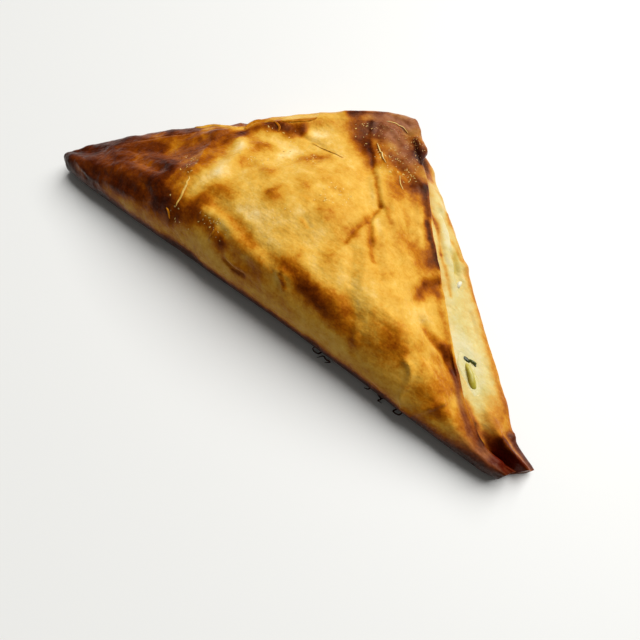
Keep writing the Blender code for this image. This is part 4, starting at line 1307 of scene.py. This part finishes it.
def baked_filo():
    """Filo leaves brushed with butter and baked: thin, crisp, gold to burnt brown, with a soft gloss."""
    material, shader = new_material("baked filo")
    place = add(material, "ShaderNodeTexCoord").outputs["Object"]
    value = {
        name: add(material, "ShaderNodeAttribute", {"attribute_name": name}).outputs["Fac"]
        for name in ("bake", "dough", "scorch", "green", "red")
    }
    # Blisters 2.5 mm apart and grain 0.7 mm apart brown a little more than the leaf around them
    mottle = add(material, "ShaderNodeTexNoise", patches(2.5, 4), Vector=place).outputs["Fac"]
    speck = add(material, "ShaderNodeTexNoise", patches(0.7, 2), Vector=place).outputs["Fac"]
    coarse = add(material, "ShaderNodeMath", {"operation": "MULTIPLY_ADD", 1: 0.34, 2: -0.17}, _0=mottle)
    fine = add(material, "ShaderNodeMath", {"operation": "MULTIPLY_ADD", 1: 0.16, 2: -0.08}, _0=speck)
    both = add(material, "ShaderNodeMath", {"operation": "ADD"}, _0=coarse.outputs[0], _1=fine.outputs[0])
    # The bake value carries painted shade and painted highlight along with the browning.
    depth = add(
        material, "ShaderNodeMath", {"operation": "ADD", "use_clamp": True},
        _0=value["bake"], _1=both.outputs[0],
    )
    baked = add(material, "ShaderNodeValToRGB", {"steps": BAKED_LEAF}, Fac=depth.outputs[0])
    bare = add(material, "ShaderNodeValToRGB", {"steps": BARE_DOUGH}, Fac=depth.outputs[0])
    burnt = add(material, "ShaderNodeValToRGB", {"steps": SCORCHED_CRUST}, Fac=depth.outputs[0])
    sides = add(
        material, "ShaderNodeMix", {"data_type": "RGBA"},
        _0=value["dough"], _6=baked.outputs[0], _7=bare.outputs[0],
    )
    # The scorch value also carries painted contact shade low on the front wall.
    crust = add(
        material, "ShaderNodeMix", {"data_type": "RGBA"},
        _0=value["scorch"], _6=sides.outputs[2], _7=burnt.outputs[0],
    )
    tinted = add(material, "ShaderNodeMath", {"operation": "MULTIPLY", 1: 0.4}, _0=value["green"])
    tinged = add(
        material, "ShaderNodeMix", {"data_type": "RGBA", 7: srgb("8f9030")},
        _0=tinted.outputs[0], _6=crust.outputs[2],
    )
    deep = add(material, "ShaderNodeMath", {"operation": "MULTIPLY", 1: 0.8}, _0=value["red"])
    red = add(
        material, "ShaderNodeMix", {"data_type": "RGBA", 7: srgb("5c0f04")},
        _0=deep.outputs[0], _6=tinged.outputs[2],
    )
    join(material, red.outputs[2], shader.inputs["Base Color"])
    # Wrinkles 4 mm apart, leaf lines 1.2 mm apart along the long side, and pimples 1.4 mm apart
    wrinkle = add(material, "ShaderNodeTexNoise", patches(4.0, 5), Vector=place).outputs["Fac"]
    drawn = add(material, "ShaderNodeMapping", {"Scale": (0.16, 1, 1)}, Vector=place)
    lines = add(material, "ShaderNodeTexNoise", patches(1.2, 3), Vector=drawn.outputs[0]).outputs["Fac"]
    pimple = add(
        material, "ShaderNodeTexVoronoi",
        {"feature": "SMOOTH_F1", "Scale": 1 / (1.4 * MM), "Smoothness": 0.6},
        Vector=place,
    )
    low = add(material, "ShaderNodeBump", {"Strength": 0.7, "Distance": 0.65 * MM}, Height=wrinkle)
    middle = add(
        material, "ShaderNodeBump", {"Strength": 0.5, "Distance": 0.3 * MM},
        Height=lines, Normal=low.outputs["Normal"],
    )
    high = add(
        material, "ShaderNodeBump", {"Strength": 0.4, "Distance": 0.22 * MM},
        Height=pimple.outputs["Distance"], Normal=middle.outputs["Normal"],
    )
    join(material, high.outputs["Normal"], shader.inputs["Normal"])
    sheen = add(
        material, "ShaderNodeMapRange",
        {"From Min": 0.35, "From Max": 0.65, "To Min": 0.26, "To Max": 0.46},
        Value=wrinkle,
    )
    join(material, sheen.outputs["Result"], shader.inputs["Roughness"])
    shader.inputs["IOR"].default_value = 1.46
    shader.inputs["Specular IOR Level"].default_value = 0.11
    shader.inputs["Specular Tint"].default_value = srgb("ffbe70")
    shader.inputs["Subsurface Weight"].default_value = 0.06
    shader.inputs["Subsurface Radius"].default_value = (1.2 * MM, 0.6 * MM, 0.25 * MM)
    shader.inputs["Subsurface Scale"].default_value = 1.0
    gloss = add(material, "ShaderNodeMath", {"operation": "MULTIPLY", 1: 0.12}, _0=value["scorch"])
    join(material, gloss.outputs[0], shader.inputs["Coat Weight"])
    shader.inputs["Coat Roughness"].default_value = 0.35
    return material


def spinach_and_cheese():
    """Wilted spinach and crumbled sheep's cheese, moist: dark green leaf, yellow stem, cream curd."""
    material, shader = new_material("spinach and cheese")
    place = add(material, "ShaderNodeTexCoord").outputs["Object"]
    leafy = add(material, "ShaderNodeAttribute", {"attribute_name": "leafy"}).outputs["Fac"]
    fibre = add(material, "ShaderNodeTexNoise", patches(0.8, 3), Vector=place).outputs["Fac"]
    shift = add(material, "ShaderNodeMath", {"operation": "MULTIPLY_ADD", 1: 0.2, 2: -0.1}, _0=fibre)
    depth = add(
        material, "ShaderNodeMath", {"operation": "ADD", "use_clamp": True},
        _0=leafy, _1=shift.outputs[0],
    )
    colour = add(material, "ShaderNodeValToRGB", {"steps": FILLING}, Fac=depth.outputs[0])
    join(material, colour.outputs[0], shader.inputs["Base Color"])
    low = add(material, "ShaderNodeBump", {"Strength": 0.6, "Distance": 0.2 * MM}, Height=fibre)
    join(material, low.outputs["Normal"], shader.inputs["Normal"])
    shader.inputs["Roughness"].default_value = 0.35
    shader.inputs["Subsurface Weight"].default_value = 0.12
    shader.inputs["Subsurface Radius"].default_value = (1.0 * MM, 0.9 * MM, 0.3 * MM)
    shader.inputs["Subsurface Scale"].default_value = 1.0
    return material


def glazed_floor():
    """A plain pale floor with a soft sheen."""
    material, shader = new_material("pale floor")
    shader.inputs["Base Color"].default_value = srgb("ebebe8")
    shader.inputs["Roughness"].default_value = 0.5
    return material


# Stage


def make_stage():
    mesh = bpy.data.meshes.new("floor")
    corners = [(FLOOR_REACH * x, FLOOR_REACH * y, 0) for x, y in ((-1, -1), (1, -1), (1, 1), (-1, 1))]
    mesh.from_pydata(corners, [], [(0, 1, 2, 3)])
    mesh.materials.append(glazed_floor())
    floor = bpy.data.objects.new("floor", mesh)
    bpy.context.scene.collection.objects.link(floor)


def make_lights():
    """A large soft window high behind and a little to the right, and a pale room."""
    lamp = bpy.data.lights.new("window", "AREA")
    lamp.shape = "SQUARE"
    lamp.size = WINDOW_SIZE
    lamp.energy = WINDOW_POWER
    window = bpy.data.objects.new("window", lamp)
    aim = np.array(WINDOW_WAY) / np.linalg.norm(WINDOW_WAY)
    window.location = (aim * WINDOW_FAR).tolist()
    window.rotation_euler = (math.acos(aim[2]), 0, math.atan2(aim[0], -aim[1]))
    bpy.context.scene.collection.objects.link(window)
    world = bpy.data.worlds.new("room")
    world.use_nodes = True
    world.node_tree.nodes["Background"].inputs["Color"].default_value = srgb("f4f2ee")
    world.node_tree.nodes["Background"].inputs["Strength"].default_value = ROOM_LIGHT
    bpy.context.scene.world = world


def make_camera():
    """Looks steeply down from the right front."""
    lens = bpy.data.cameras.new("camera")
    lens.sensor_width = 36
    lens.lens = LENS
    lens.clip_start = 0.01
    camera = bpy.data.objects.new("camera", lens)
    camera.location = CAMERA_PLACE
    camera.rotation_euler = [math.radians(turn) for turn in CAMERA_TURN]
    bpy.context.scene.collection.objects.link(camera)
    bpy.context.scene.camera = camera


def main():
    bpy.context.scene.view_settings.view_transform = "Standard"
    make_camera()
    make_lights()
    make_stage()
    leaf = baked_filo()
    parcel = make_parcel(leaf)
    flakes = make_flakes(parcel, leaf)
    slivers = make_slivers(parcel, leaf)
    for piece in (parcel, flakes, slivers):
        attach(piece, BODY)
    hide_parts("pastry")
    filling = make_filling(spinach_and_cheese())
    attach(filling, BODY)
    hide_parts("filling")


main()
